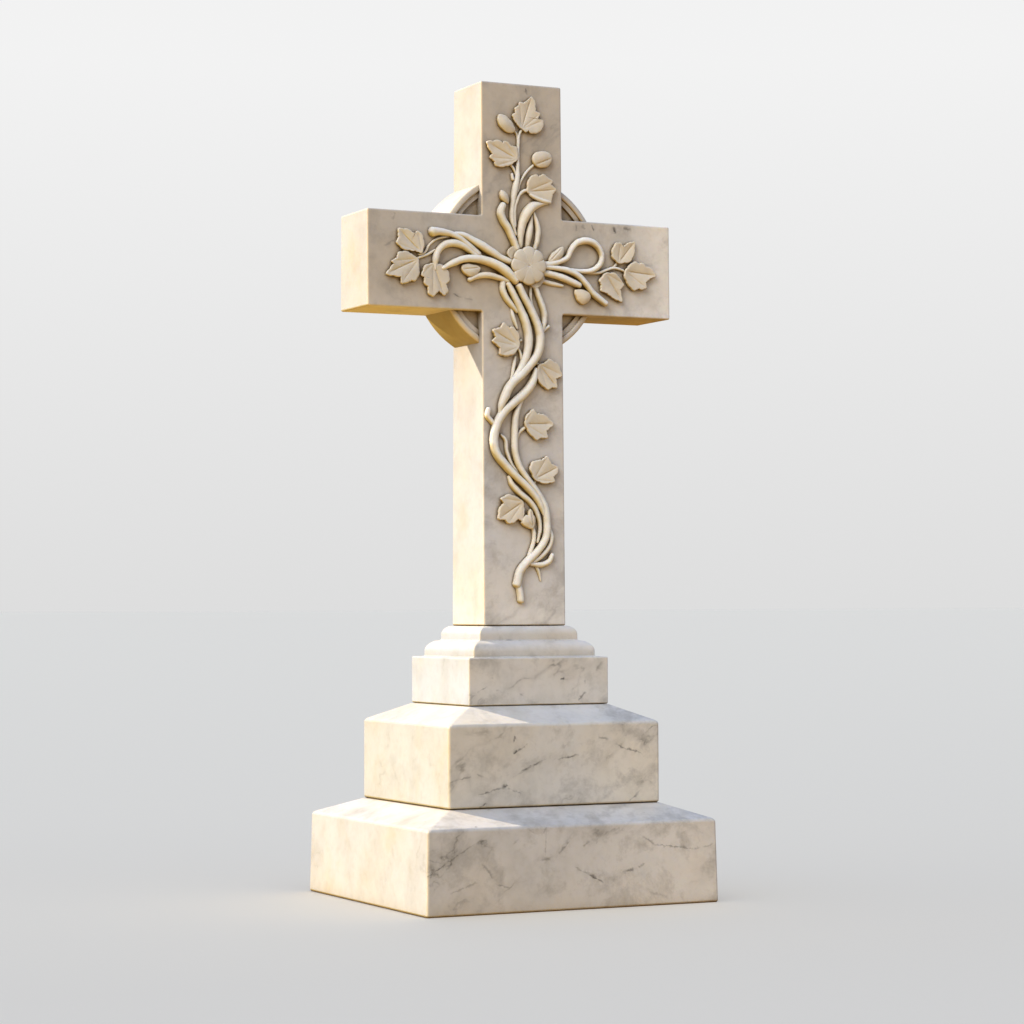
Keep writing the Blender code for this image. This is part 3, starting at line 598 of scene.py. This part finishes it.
def node_group(name, inputs):
    """A geometry tree with one geometry output and the named inputs."""
    group = bpy.data.node_groups.new(name, "GeometryNodeTree")
    group.interface.new_socket("Geometry", in_out="OUTPUT", socket_type="NodeSocketGeometry")
    group.interface.new_socket("Geometry", in_out="INPUT", socket_type="NodeSocketGeometry")
    for label, kind in inputs.items():
        group.interface.new_socket(label, in_out="INPUT", socket_type=kind)
    recipe = Recipe(group)
    source = group.nodes.new("NodeGroupInput")
    return group, recipe, source.outputs


def close_group(recipe, geometry, material):
    """Ends a tree: real geometry, its material, the output."""
    solid = recipe.node("GeometryNodeRealizeInstances", inputs={"Geometry": geometry})
    smooth = recipe.node("GeometryNodeSetShadeSmooth", inputs={"Geometry": solid})
    marble = recipe.node("GeometryNodeSetMaterial", inputs={"Geometry": smooth, "Material": material})
    out = recipe.tree.nodes.new("NodeGroupOutput")
    recipe.put(out.inputs["Geometry"], marble)


def grown(name, source, group, values):
    """The plain mesh that a geometry tree makes of an object, in place of that object."""
    modifier = source.modifiers.new(name, "NODES")
    modifier.node_group = group
    for item in group.interface.items_tree:
        if item.in_out == "INPUT" and item.name in values:
            modifier[item.identifier] = values[item.name]
    bpy.context.view_layer.update()
    graph = bpy.context.evaluated_depsgraph_get()
    mesh = bpy.data.meshes.new_from_object(source.evaluated_get(graph), depsgraph=graph)
    mesh.name = name
    bpy.data.objects.remove(source, do_unlink=True)
    obj = bpy.data.objects.new(name, mesh)
    bpy.context.scene.collection.objects.link(obj)
    return obj


def vine_stems(material):
    curve = bpy.data.curves.new("vine_routes", "CURVE")
    curve.dimensions = "3D"
    for lift, points in STEMS.values():
        middles, radii = stem_route(lift, points)
        spline = curve.splines.new("POLY")
        spline.points.add(len(middles) - 1)
        for point, middle, radius in zip(spline.points, middles, radii):
            point.co = (*middle, 1.0)
            point.radius = radius
    source = bpy.data.objects.new("vine_routes", curve)
    bpy.context.scene.collection.objects.link(source)
    group, recipe, inputs = node_group("round_stems", {
        "Facets": "NodeSocketInt", "Waves": "NodeSocketFloat", "Uneven": "NodeSocketFloat",
        "Marble": "NodeSocketMaterial"})
    section = recipe.node("GeometryNodeCurvePrimitiveCircle", inputs={"Resolution": inputs["Facets"], "Radius": 1.0})
    radius = recipe.node("GeometryNodeInputRadius")
    stems = recipe.node("GeometryNodeCurveToMesh", inputs={
        "Curve": inputs["Geometry"], "Profile Curve": section, "Scale": radius, "Fill Caps": True})
    wave = recipe.node("ShaderNodeTexNoise", inputs={"Scale": inputs["Waves"], "Detail": 2.0})
    rise = (wave - 0.5) * Amount(recipe, inputs["Uneven"])
    normal = recipe.node("GeometryNodeInputNormal")
    offset = recipe.node("ShaderNodeVectorMath", {"operation": "SCALE"}, {"Vector": normal, "Scale": rise})
    uneven = recipe.node("GeometryNodeSetPosition", inputs={"Geometry": stems, "Offset": offset})
    close_group(recipe, uneven, inputs["Marble"])
    return grown("vine_stems", source, group, {
        "Facets": STEM_FACETS, "Waves": STEM_WAVES, "Uneven": STEM_UNEVEN, "Marble": material})


def bulged_rim(rim, toothed):
    """The leaf's outline with each side swelling a little between the drawn points."""
    points = [Vector(p) for p in rim]
    area = sum(a.x * b.y - b.x * a.y for a, b in zip(points, points[1:] + points[:1]))
    outwards = 1 if area > 0 else -1
    result = []
    for a, b in zip(points, points[1:] + points[:1]):
        side = b - a
        normal = Vector((side.y, -side.x)) * outwards
        teeth = 2 if toothed and side.length > TOOTHED_SIDE else 1
        for i in range(RIM_STEPS):
            t = i / RIM_STEPS
            result.append(a + side * t + normal * RIM_BULGE / teeth * abs(math.sin(math.pi * teeth * t)))
    return result


def distance_to_line(point, start, end):
    along = end - start
    t = max(0.0, min(1.0, (point - start).dot(along) / along.length_squared))
    return (point - start - along * t).length, t


def leaf_tips(base, rim):
    """The rim's points that reach furthest from the leaf's base, one for each lobe."""
    count = len(rim)
    reach = [(p - base).length for p in rim]
    tips = []
    for i in range(count):
        window = [reach[(i + k) % count] for k in (-1, 0, 1)]
        if reach[i] == max(window) and reach[i] > 0.40 * max(reach):
            tips.append(rim[i])
    return tips


def leaf(shape, number, name, crown, rim):
    """One leaf: undercut at its rim, swelling to its crown, creased along the veins of its lobes."""
    rim = [Vector(p) for p in rim]
    crown = Vector(crown)
    base = rim[0]
    tips = [] if name in PODS or "sepal" in name else leaf_tips(base, rim)
    outline = bulged_rim(rim, toothed=bool(tips) and name not in BUDS)
    top = BUD_CROWN if name in BUDS + PODS else LEAF_CROWN
    middle_tip = max(tips, key=lambda tip: (tip - base).length, default=None)
    raised = number * 0.0001

    def height(point, share):
        rise = LEAF_RIM + (top - LEAF_RIM) * (1 - share ** 2)
        nearest = 0.0
        for tip in tips:
            away, t = distance_to_line(point, base, tip)
            fade = min(1.0, (1 - t) * 4) * min(1.0, t * 5)
            nearest = max(nearest, math.exp(-(away / LOBE_WIDTH) ** 2) * fade)
            depth = LEAF_CREASE if tip is middle_tip else SIDE_CREASE
            rise -= depth * math.exp(-(away / CREASE_WIDTH) ** 2) * fade
            if tip is middle_tip:
                rise -= LEAF_VALLEY * math.exp(-(away / VALLEY_WIDTH) ** 2) * fade
        if tips:
            rise += LOBE_SWELL * (1 - nearest) * min(1.0, (1 - share) * 8)
        return rise + raised

    def ring(share, rise=None):
        points = []
        for p in outline:
            point = crown + (p - crown) * share
            points.append(on_face(point.x, point.y, height(point, share) if rise is None else rise))
        return points

    rings = [ring(1 - LEAF_UNDERCUT * 1.3, -LEAF_SINK), ring(1 - LEAF_UNDERCUT, 0.001)]
    rings += [ring(share, LEAF_RIM - LEAF_NOSE * drop) for share, drop in LEAF_NOSE_CURVE]
    rings += [ring(0.95 * (1 - i / LEAF_RINGS)) for i in range(LEAF_RINGS)]
    loft(shape, rings)


def vine_leaves(place, material):
    """The leaves and buds of one stretch of the vine."""
    shape = bmesh.new()
    for number, (name, (crown, rim)) in enumerate(LEAVES.items()):
        if name.startswith(place):
            leaf(shape, number, name, crown, rim)
    return finished(place + "_leaves", shape, material, 180)


def petal():
    """One petal of the rosette, lying along +X, with the face's outward direction -Y."""
    shape = bmesh.new()
    spread = math.pi / ROSETTE_PETALS * 1.06
    across = [i / 8 for i in range(-8, 9)]
    steps = [i / 12 for i in range(1, 13)]
    rings = []
    for s in steps:
        row = []
        for a in across:
            reach = ROSETTE_RADIUS * s * (1 - 0.10 * a * a * s)
            turn = a * spread
            dome = ROSETTE_TOP * (0.90 + 0.16 * s - 0.22 * s ** 3) - 0.0020 * a ** 8 * s ** 4
            row.append(Vector((reach * math.cos(turn), -dome, reach * math.sin(turn))))
        rings.append(row)
    centre = Vector((0.0, -ROSETTE_TOP * 0.90, 0.0))
    top = [[shape.verts.new(p) for p in row] for row in rings]
    middle = shape.verts.new(centre)
    foot = shape.verts.new(Vector((0.0, LEAF_SINK, 0.0)))
    for k in range(len(across) - 1):
        shape.faces.new((middle, top[0][k], top[0][k + 1]))
    for low, high in zip(top, top[1:]):
        for k in range(len(across) - 1):
            shape.faces.new((low[k], high[k], high[k + 1], low[k + 1]))
    # the undercut side
    edge = top[-1]
    nose = [shape.verts.new(Vector((v.co.x * 1.012, v.co.y + 0.003, v.co.z * 1.012))) for v in edge]
    under = [shape.verts.new(Vector((v.co.x * 0.86, 0.0, v.co.z * 0.86))) for v in edge]
    sunk = [shape.verts.new(Vector((v.co.x, LEAF_SINK, v.co.z))) for v in under]
    for low, high in ((edge, nose), (nose, under), (under, sunk)):
        for k in range(len(across) - 1):
            shape.faces.new((low[k], high[k], high[k + 1], low[k + 1]))
    for k in range(len(across) - 1):
        shape.faces.new((foot, sunk[k], sunk[k + 1]))
    for side in (0, -1):
        shape.faces.new([middle] + [row[side] for row in top] + [nose[side], under[side], sunk[side], foot])
    bmesh.ops.recalc_face_normals(shape, faces=shape.faces)
    mesh = bpy.data.meshes.new("petal")
    shape.to_mesh(mesh)
    shape.free()
    obj = bpy.data.objects.new("petal", mesh)
    bpy.context.scene.collection.objects.link(obj)
    return obj


def rosette(material):
    model = petal()
    source = bpy.data.objects.new("rosette_seed", bpy.data.meshes.new("rosette_seed"))
    bpy.context.scene.collection.objects.link(source)
    group, recipe, inputs = node_group("ring_of_petals", {
        "Petal": "NodeSocketObject", "Petals": "NodeSocketInt", "Centre": "NodeSocketVector",
        "Marble": "NodeSocketMaterial"})
    shape = recipe.node("GeometryNodeObjectInfo", inputs={"Object": inputs["Petal"]}, output="Geometry")
    points = recipe.node("GeometryNodeMeshLine", inputs={
        "Count": inputs["Petals"], "Start Location": inputs["Centre"], "Offset": (0.0, 0.0, 0.0)})
    index = recipe.node("GeometryNodeInputIndex")
    turn = index / Amount(recipe, inputs["Petals"]) * (2 * math.pi)
    euler = recipe.node("ShaderNodeCombineXYZ", inputs={"Y": turn})
    rotation = recipe.node("FunctionNodeEulerToRotation", inputs={"Euler": euler})
    petals = recipe.node("GeometryNodeInstanceOnPoints", inputs={
        "Points": points, "Instance": shape, "Rotation": rotation})
    close_group(recipe, petals, inputs["Marble"])
    obj = grown("rosette", source, group, {
        "Petal": model, "Petals": ROSETTE_PETALS, "Centre": on_face(*ROSETTE_CENTRE, 0.0), "Marble": material})
    bpy.data.objects.remove(model, do_unlink=True)
    return obj


# Marble
class Marble(Recipe):
    """A marble material: a cream ground, on which each further step lays a tint."""

    def __init__(self, name, cream, seed):
        self.material = bpy.data.materials.new(name)
        self.material.use_nodes = True
        super().__init__(self.material.node_tree)
        self.shader = self.tree.nodes["Principled BSDF"]
        self.cream = cream
        self.place = self.node("ShaderNodeTexCoord", output="Object")
        self.shifted = self.node("ShaderNodeVectorMath", {"operation": "ADD"}, {
            0: self.place, 1: (seed, seed * 0.37, seed * 1.7)})
        self.colour = self.node("ShaderNodeRGB")
        self.tint(1.0, cream)
        normal = self.node("ShaderNodeTexCoord", output="Normal")
        facing = [self.node("ShaderNodeSeparateXYZ", inputs={"Vector": normal}, output=axis) for axis in "XYZ"]
        self.leftwards, self.forwards, self.downwards = [(part * -1.0).limited() for part in facing]
        self.backwards, self.upwards = facing[1].limited(), facing[2].limited()

    def tint(self, share, colour):
        self.colour = self.node("ShaderNodeMix", {"data_type": "RGBA"}, {
            0: share, 6: self.colour, 7: (*colour, 1.0)}, output=2)

    def toned(self, share, factors):
        """Multiplies the colour by the factors where the share is one."""
        self.colour = self.node("ShaderNodeMix", {"data_type": "RGBA", "blend_type": "MULTIPLY"}, {
            0: share, 6: self.colour, 7: (*factors, 1.0)}, output=2)

    def noise(self, scale, detail=4.0, rough=0.55, vector=None, output=0):
        return self.node("ShaderNodeTexNoise", inputs={
            "Vector": vector or self.shifted, "Scale": scale, "Detail": detail, "Roughness": rough}, output=output)

    def openness(self, distance, inside=False):
        """One in the open, less in a hollow; measured from inside, less near an edge."""
        return self.node("ShaderNodeAmbientOcclusion", {"samples": 4, "inside": inside}, {"Distance": distance},
                         output="AO")

    def mark(self, across, up, thick, start, end, half_width):
        """A stroke of uneven width between two points of the front, and the wider cloud around it."""
        long = math.dist(start, end)
        along = ((end[0] - start[0]) / long, (end[1] - start[1]) / long)
        offset = start[0] * along[0] + start[1] * along[1]
        t = (across * along[0] + up * along[1] - (offset - half_width)) / (long + 2 * half_width)
        aside = across * along[1] - up * along[0] - (start[0] * along[1] - start[1] * along[0])
        ends = (1.0 - abs(t * 2.0 - 1.0).to_power(4.0)).limited()
        return [(1.0 - abs(aside) / (thick * width)).limited() * ends
                for width in (half_width, half_width * MARK_CLOUD)]


def above(field, level, gain):
    return ((field - level) * gain).limited()


def ridge(field, width):
    return (1.0 - abs(field - 0.5) / width).limited()


def cross_regions(side, height, forwards):
    """The cross is yellower at the head; its front is paler and greyer below the arms and at its right end."""
    return [
        (((height - 1.45) * 5.0).limited(), (0.98, 0.94, 0.88)),
        (((1.32 - height) * 12.0).limited() * forwards, (1.15, 1.21, 1.33)),
        (((0.74 - height) * 8.0).limited(), (1.20, 1.17, 1.10)),
        (above(side * -1.0, 0.20, 6.0), (1.03, 1.00, 0.95)),
        (above(side, 0.18, 6.0), (1.40, 1.44, 1.50))]


def plinth_regions(side, height, forwards):
    """The plinths are paler towards their right end, and darkest near the left."""
    return [
        (above(side, 0.04, 6.0), (1.12, 1.11, 1.09)),
        (above(side * -1.0, 0.18, 8.0) * forwards, (1.01, 1.005, 0.99))]


def marble(name, cream, grey, veins, clouds, hollow_shade_and_dirt, seed, painted_sunlit_tone=(1.0, 1.0, 1.0), marks=(),
           regions=lambda side, height, forwards: []):
    """White marble with grey clouds and broken veins, painted light and shade on its sunlit sides, undersides and
    edges, and painted shade with brown dirt in recesses.
    """
    stone = Marble(name, cream, seed)
    bend = stone.noise(3.0, 4.0, 0.6, output=1)
    bent = stone.node("ShaderNodeVectorMath", {"operation": "MULTIPLY_ADD"}, {
        0: bend, 1: (0.12, 0.12, 0.12), 2: stone.shifted})
    turned = stone.node("ShaderNodeVectorRotate", {"rotation_type": "EULER_XYZ"}, {
        "Vector": bent, "Rotation": (0.25, VEIN_SLOPE, 0.35)})
    grain = stone.node("ShaderNodeVectorMath", {"operation": "MULTIPLY"}, {0: turned, 1: (1.0, 2.0, 2.3)})
    # painted light: grey clouds, veins and blots fade on the sunlit left faces, which are painted paler and plainer
    shade = 1.0 - stone.leftwards * 0.7
    areas = above(stone.noise(3.0, 2.0, 0.5), 0.46, 6.0) * shade
    vein_field = stone.noise(2.6, 7.0, 0.60, vector=grain)
    breaks = stone.noise(26.0, 3.0, 0.6)
    upright = (1.0 - stone.upwards * 1.3).limited()
    lines = ridge(vein_field, 0.015) * areas * above(breaks, 0.47, 6.0) * upright
    halo = ridge(vein_field, 0.09).to_power(2.0) * areas
    smudges = above(stone.noise(12.0, 7.0, 0.68, vector=bent), 0.510, 4.2) * shade
    blots = above(stone.noise(22.0, 3.0, 0.5, vector=grain), 0.68, 9.0) * areas
    mottle = stone.noise(60.0, 4.0, 0.65)
    patches = stone.noise(13.0, 3.0, 0.6)
    drift = stone.noise(4.5, 3.0, 0.5)

    side = stone.node("ShaderNodeSeparateXYZ", inputs={"Vector": stone.place}, output="X")
    height = stone.node("ShaderNodeSeparateXYZ", inputs={"Vector": stone.place}, output="Z")
    stone.toned((side * 1.35 + 0.5).limited(), (1.13, 1.14, 1.15))
    for field, factors in regions(side, height, stone.forwards):
        stone.toned(field, factors)
    stone.toned(above(drift, 0.42, 4.0), (1.0, 0.955, 0.88))
    stone.toned(above(patches, 0.48, 4.0), (0.87, 0.87, 0.86))
    stone.toned(above(stone.noise(7.0, 6.0, 0.68), 0.50, 5.0) * shade, (0.915, 0.925, 0.94))
    stone.toned(above(mottle, 0.50, 2.6), (0.89, 0.88, 0.865))
    stone.tint(smudges * clouds, grey)
    stone.tint(halo * (clouds * 0.55), grey)
    stone.tint((blots * veins).limited(), [c * 0.35 for c in grey])
    stone.tint((lines * veins).limited(), [c * 0.35 for c in grey])
    if marks:
        wander = stone.node("ShaderNodeVectorMath", {"operation": "MULTIPLY_ADD"}, {
            0: stone.noise(60.0, 4.0, 0.7, output=1), 1: (MARK_WANDER, 0.0, MARK_WANDER), 2: stone.place})
        across = stone.node("ShaderNodeSeparateXYZ", inputs={"Vector": wander}, output="X") - MARK_WANDER / 2
        up = stone.node("ShaderNodeSeparateXYZ", inputs={"Vector": wander}, output="Z") - MARK_WANDER / 2
        front = above(stone.forwards, 0.5, 4.0)
        thick = stone.math("MAXIMUM", (stone.noise(90.0, 3.0, 0.6) - 0.33) * 4.5, 0.12)
        for start, end, half_width, dark in marks:
            stroke, cloud = stone.mark(across, up, thick, start, end, half_width * 0.001)
            stone.tint(cloud * front * above(patches, 0.30, 3.0) * (dark * 0.55), grey)
            stone.tint((stroke * front * above(breaks, 0.34, 4.5) * (dark * 1.25)).limited(), [c * 0.22 for c in grey])

    # painted light and shade: tones on the sunlit sides, a sky tint on tops, a golden glow and shade below, highlights
    # on edges, painted shade with brown dirt in recesses; warm mottles on the left faces
    golden = stone.noise(9.0, 5.0, 0.65)
    # painted light: faces turned to the sun, to the left and behind, take their own painted tone
    stone.toned(stone.leftwards, painted_sunlit_tone)
    stone.toned(stone.backwards, painted_sunlit_tone)
    stone.toned(stone.leftwards * above(golden, 0.53, 5.0), (1.0, 0.955, 0.86))
    # painted light: a bluish sky tint on faces that look up
    stone.toned(stone.upwards, (0.98, 1.01, 1.08))
    # painted light and shade: a golden painted glow under the left side, painted shade under the right
    stone.toned(stone.downwards * (0.5 - side * 1.8).limited(), (1.36, 1.17, 0.45))
    stone.toned(stone.downwards * (0.5 + side * 1.8).limited(), (0.60, 0.41, 0.10))
    # painted shade: faces that look down and to the left are darker and browner
    stone.toned((stone.downwards * stone.leftwards * 3.0).limited(), (0.74, 0.66, 0.36))
    # painted highlight: a golden glow on the front-left edges of the stones
    if marks:
        stone.toned((stone.forwards * stone.leftwards * 2.0).limited(), (1.45, 1.30, 1.02))
    # painted highlight: edges and thin rims are painted lighter
    stone.tint(above(1.0 - stone.openness(0.0045, inside=True), 0.22, 1.3) * 0.65, (0.93, 0.89, 0.82))
    # painted shade with brown dirt: recesses darker and browner
    stone.toned(above(1.0 - stone.openness(0.035), 0.15, 1.9) * hollow_shade_and_dirt, (0.58, 0.46, 0.27))
    # painted shade with brown dirt: narrow crevices and undercuts nearly black-brown
    stone.tint(above(1.0 - stone.openness(0.010), 0.28, 2.4) * 0.94, (0.10, 0.058, 0.012))

    stone.put(stone.shader.inputs["Base Color"], stone.colour)
    stone.put(stone.shader.inputs["Roughness"], 0.42 + mottle * 0.16)
    surface = stone.noise(420.0, 2.0, 0.6) * 0.25 + stone.noise(38.0, 3.0, 0.5) * 0.75
    bump = stone.node("ShaderNodeBump", inputs={"Strength": 0.35, "Distance": 0.0022, "Height": surface})
    stone.put(stone.shader.inputs["Normal"], bump)
    stone.shader.inputs["Specular IOR Level"].default_value = 0.4
    stone.shader.inputs["Subsurface Weight"].default_value = 0.2
    stone.shader.inputs["Subsurface Radius"].default_value = (1.0, 0.75, 0.40)
    stone.shader.inputs["Subsurface Scale"].default_value = 0.005
    return stone.material


# Studio
def camera():
    data = bpy.data.cameras.new("camera")
    data.lens = CAMERA_LENS
    data.sensor_width = 36.0
    data.sensor_height = 36.0
    data.sensor_fit = "HORIZONTAL"
    forward = Vector((math.sin(CAMERA_YAW) * math.cos(CAMERA_PITCH), math.cos(CAMERA_YAW) * math.cos(CAMERA_PITCH),
                      math.sin(CAMERA_PITCH)))
    level = Vector((math.cos(CAMERA_YAW), -math.sin(CAMERA_YAW), 0.0))
    upright = level.cross(forward)
    right = level * math.cos(CAMERA_ROLL) + upright * math.sin(CAMERA_ROLL)
    up = upright * math.cos(CAMERA_ROLL) - level * math.sin(CAMERA_ROLL)
    obj = bpy.data.objects.new("camera", data)
    obj.matrix_world = Matrix((
        (right.x, up.x, -forward.x, CAMERA_PLACE[0]),
        (right.y, up.y, -forward.y, CAMERA_PLACE[1]),
        (right.z, up.z, -forward.z, CAMERA_PLACE[2]),
        (0.0, 0.0, 0.0, 1.0)))
    bpy.context.scene.collection.objects.link(obj)
    bpy.context.scene.camera = obj


def light(name, kind, place, target, strength, colour, size=1.0, lit=None):
    data = bpy.data.lights.new(name, kind)
    data.energy = strength
    data.color = colour
    if kind == "AREA":
        data.size = size
    else:
        data.angle = size
    obj = bpy.data.objects.new(name, data)
    obj.location = place
    obj.rotation_euler = (Vector(target) - Vector(place)).to_track_quat("-Z", "Y").to_euler()
    bpy.context.scene.collection.objects.link(obj)
    if lit:
        obj.light_linking.receiver_collection = lit
    return obj


def floor():
    """A plain pale floor, which casts no light of its own on the stone."""
    shape = bmesh.new()
    loft(shape, [rectangle(FLOOR_REACH, FLOOR_REACH, -0.02), rectangle(FLOOR_REACH, FLOOR_REACH, 0.0)])
    material = bpy.data.materials.new("pale_floor")
    material.use_nodes = True
    shader = material.node_tree.nodes["Principled BSDF"]
    recipe = Recipe(material.node_tree)
    place = recipe.node("ShaderNodeTexCoord", output="Object")
    ahead = recipe.node("ShaderNodeSeparateXYZ", inputs={"Vector": place}, output="Y")
    near = (FLOOR_FADE / (ahead - CAMERA_PLACE[1])).limited()
    colour = recipe.node("ShaderNodeMix", {"data_type": "RGBA"}, {
        0: near, 6: (0.99, 0.975, 0.95, 1.0), 7: (0.87, 0.853, 0.843, 1.0)}, output=2)
    recipe.put(shader.inputs["Base Color"], colour)
    shader.inputs["Roughness"].default_value = 0.8
    shader.inputs["Specular IOR Level"].default_value = 0.1
    obj = finished("floor", shape, material)
    obj.visible_diffuse = False
    obj.visible_glossy = False
    return obj


def sky():
    world = bpy.data.worlds.new("studio")
    bpy.context.scene.world = world
    world.use_nodes = True
    tree = world.node_tree
    tree.nodes.clear()
    recipe = Recipe(tree)
    direction = recipe.node("ShaderNodeTexCoord", output="Generated")
    up = recipe.node("ShaderNodeSeparateXYZ", inputs={"Vector": direction}, output="Z")
    seen = recipe.node("ShaderNodeValToRGB", {"stops": ((0.0, 0.73), (0.038, 0.76), (0.19, 0.89))}, {"Fac": up})
    above_horizon = (up * 5.0 + 0.5).limited()
    rightwards = recipe.node("ShaderNodeSeparateXYZ", inputs={"Vector": direction}, output="X")
    ground = recipe.node("ShaderNodeMix", {"data_type": "RGBA"}, {
        0: (rightwards * 0.6 + 0.5).limited(), 6: GROUND_GLOW, 7: GROUND_SHADE}, output=2)
    air = recipe.node("ShaderNodeMix", {"data_type": "RGBA"}, {
        0: (up * 1.5).limited(), 6: HORIZON_GLOW, 7: ZENITH_GLOW}, output=2)
    cast = recipe.node("ShaderNodeMix", {"data_type": "RGBA"}, {0: above_horizon, 6: ground, 7: air}, output=2)
    eye = recipe.node("ShaderNodeLightPath", output="Is Camera Ray")
    colour = recipe.node("ShaderNodeMix", {"data_type": "RGBA"}, {0: eye, 6: cast, 7: seen}, output=2)
    background = recipe.node("ShaderNodeBackground", inputs={"Color": colour, "Strength": 1.0})
    output = tree.nodes.new("ShaderNodeOutputWorld")
    recipe.put(output.inputs["Surface"], background)


def main():
    cross_marble = marble("cross_marble", (0.64, 0.602, 0.548), (0.38, 0.355, 0.325), 0.15, 0.7, 0.9, 1.7,
                          (0.69, 0.755, 0.90), CROSS_MARKS, cross_regions)
    # painted light: the vine's marble is a much paler copy of the cross's, so the carving stands out lighter than the
    # face it is cut from
    painted_lit_vine_marble = marble("painted_lit_vine_marble", (0.92, 0.905, 0.855), (0.60, 0.56, 0.50), 0.0, 0.35, 0.85, 5.3,
                         painted_sunlit_tone=(0.74, 0.72, 0.70))
    leaf_marble = marble("leaf_marble", (0.735, 0.68, 0.585), (0.55, 0.50, 0.44), 0.0, 0.3, 0.95, 3.1)
    die_marble = marble("die_marble", (0.715, 0.685, 0.638), (0.39, 0.37, 0.335), 0.65, 0.8, 0.6, 8.1,
                        (0.58, 0.675, 0.86), DIE_MARKS, plinth_regions)
    plinth_marble = marble("plinth_marble", (0.69, 0.668, 0.625), (0.39, 0.365, 0.325), 0.75, 0.95, 0.6, 12.9,
                           (0.62, 0.67, 0.735), UPPER_PLINTH_MARKS, plinth_regions)
    base_marble = marble("base_marble", (0.645, 0.622, 0.592), (0.38, 0.355, 0.315), 0.80, 0.95, 0.6, 21.4,
                         (0.70, 0.755, 0.84), BOTTOM_PLINTH_MARKS, plinth_regions)

    carving = [vine_stems(painted_lit_vine_marble), rosette(leaf_marble)]
    carving += [vine_leaves(place, leaf_marble) for place in LEAF_PLACES]
    die = die_half_sizes()
    middle = (die[0] + MIDDLE_STEP_WIDE, die[1] + MIDDLE_STEP_DEEP)
    lower = (middle[0] + LOWER_STEP, middle[1] + LOWER_STEP)
    stones = {
        "cross": [cross_block(cross_marble), *carving],
        "moulded_die_block": [die_block(die_marble)],
        "middle_plinth": [plinth("upper_plinth", plinth_marble, (*middle, MIDDLE_BASE + BED_GAP),
                                 MIDDLE_BASE + MIDDLE_SIDE, DIE_BASE, die)],
        "lower_plinth": [plinth("bottom_plinth", base_marble, (*lower, 0.0), LOWER_SIDE, MIDDLE_BASE, middle,
                                LOWER_BATTER)],
    }
    lit = bpy.data.collections.new("stones")
    bpy.context.scene.collection.children.link(lit)
    carved = bpy.data.collections.new("carving")
    bpy.context.scene.collection.children.link(carved)
    for piece in carving:
        carved.objects.link(piece)
    for node, pieces in stones.items():
        for piece in pieces:
            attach(piece, "root")
            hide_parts(node)
            lit.objects.link(piece)

    ground = bpy.data.collections.new("ground")
    bpy.context.scene.collection.children.link(ground)
    ground.objects.link(floor())
    sky()
    camera()
    sun_from = Vector(SUN_TRAVEL) * -6.0
    light("sun", "SUN", sun_from, (0.0, 0.0, 0.0), 6.6, (1.0, 0.82, 0.58), size=math.radians(1.2), lit=lit)
    light("window", "SUN", (-3.9, -2.4, 3.4), (0.0, 0.0, 0.0), 1.8, (1.0, 0.95, 0.86), size=math.radians(40), lit=lit)
    light("carving_light", "SUN", (-3.6, -2.6, 5.0), (0.0, 0.0, 0.0), 0.6, (1.0, 0.97, 0.86), size=math.radians(20),
          lit=carved)
    light("floor_light", "SUN", (0.0, -2.0, 8.0), (0.0, 0.0, 0.0), 1.43, (1.0, 0.85, 0.49), size=math.radians(90),
          lit=ground)
    bpy.context.scene.view_settings.view_transform = "Standard"


main()
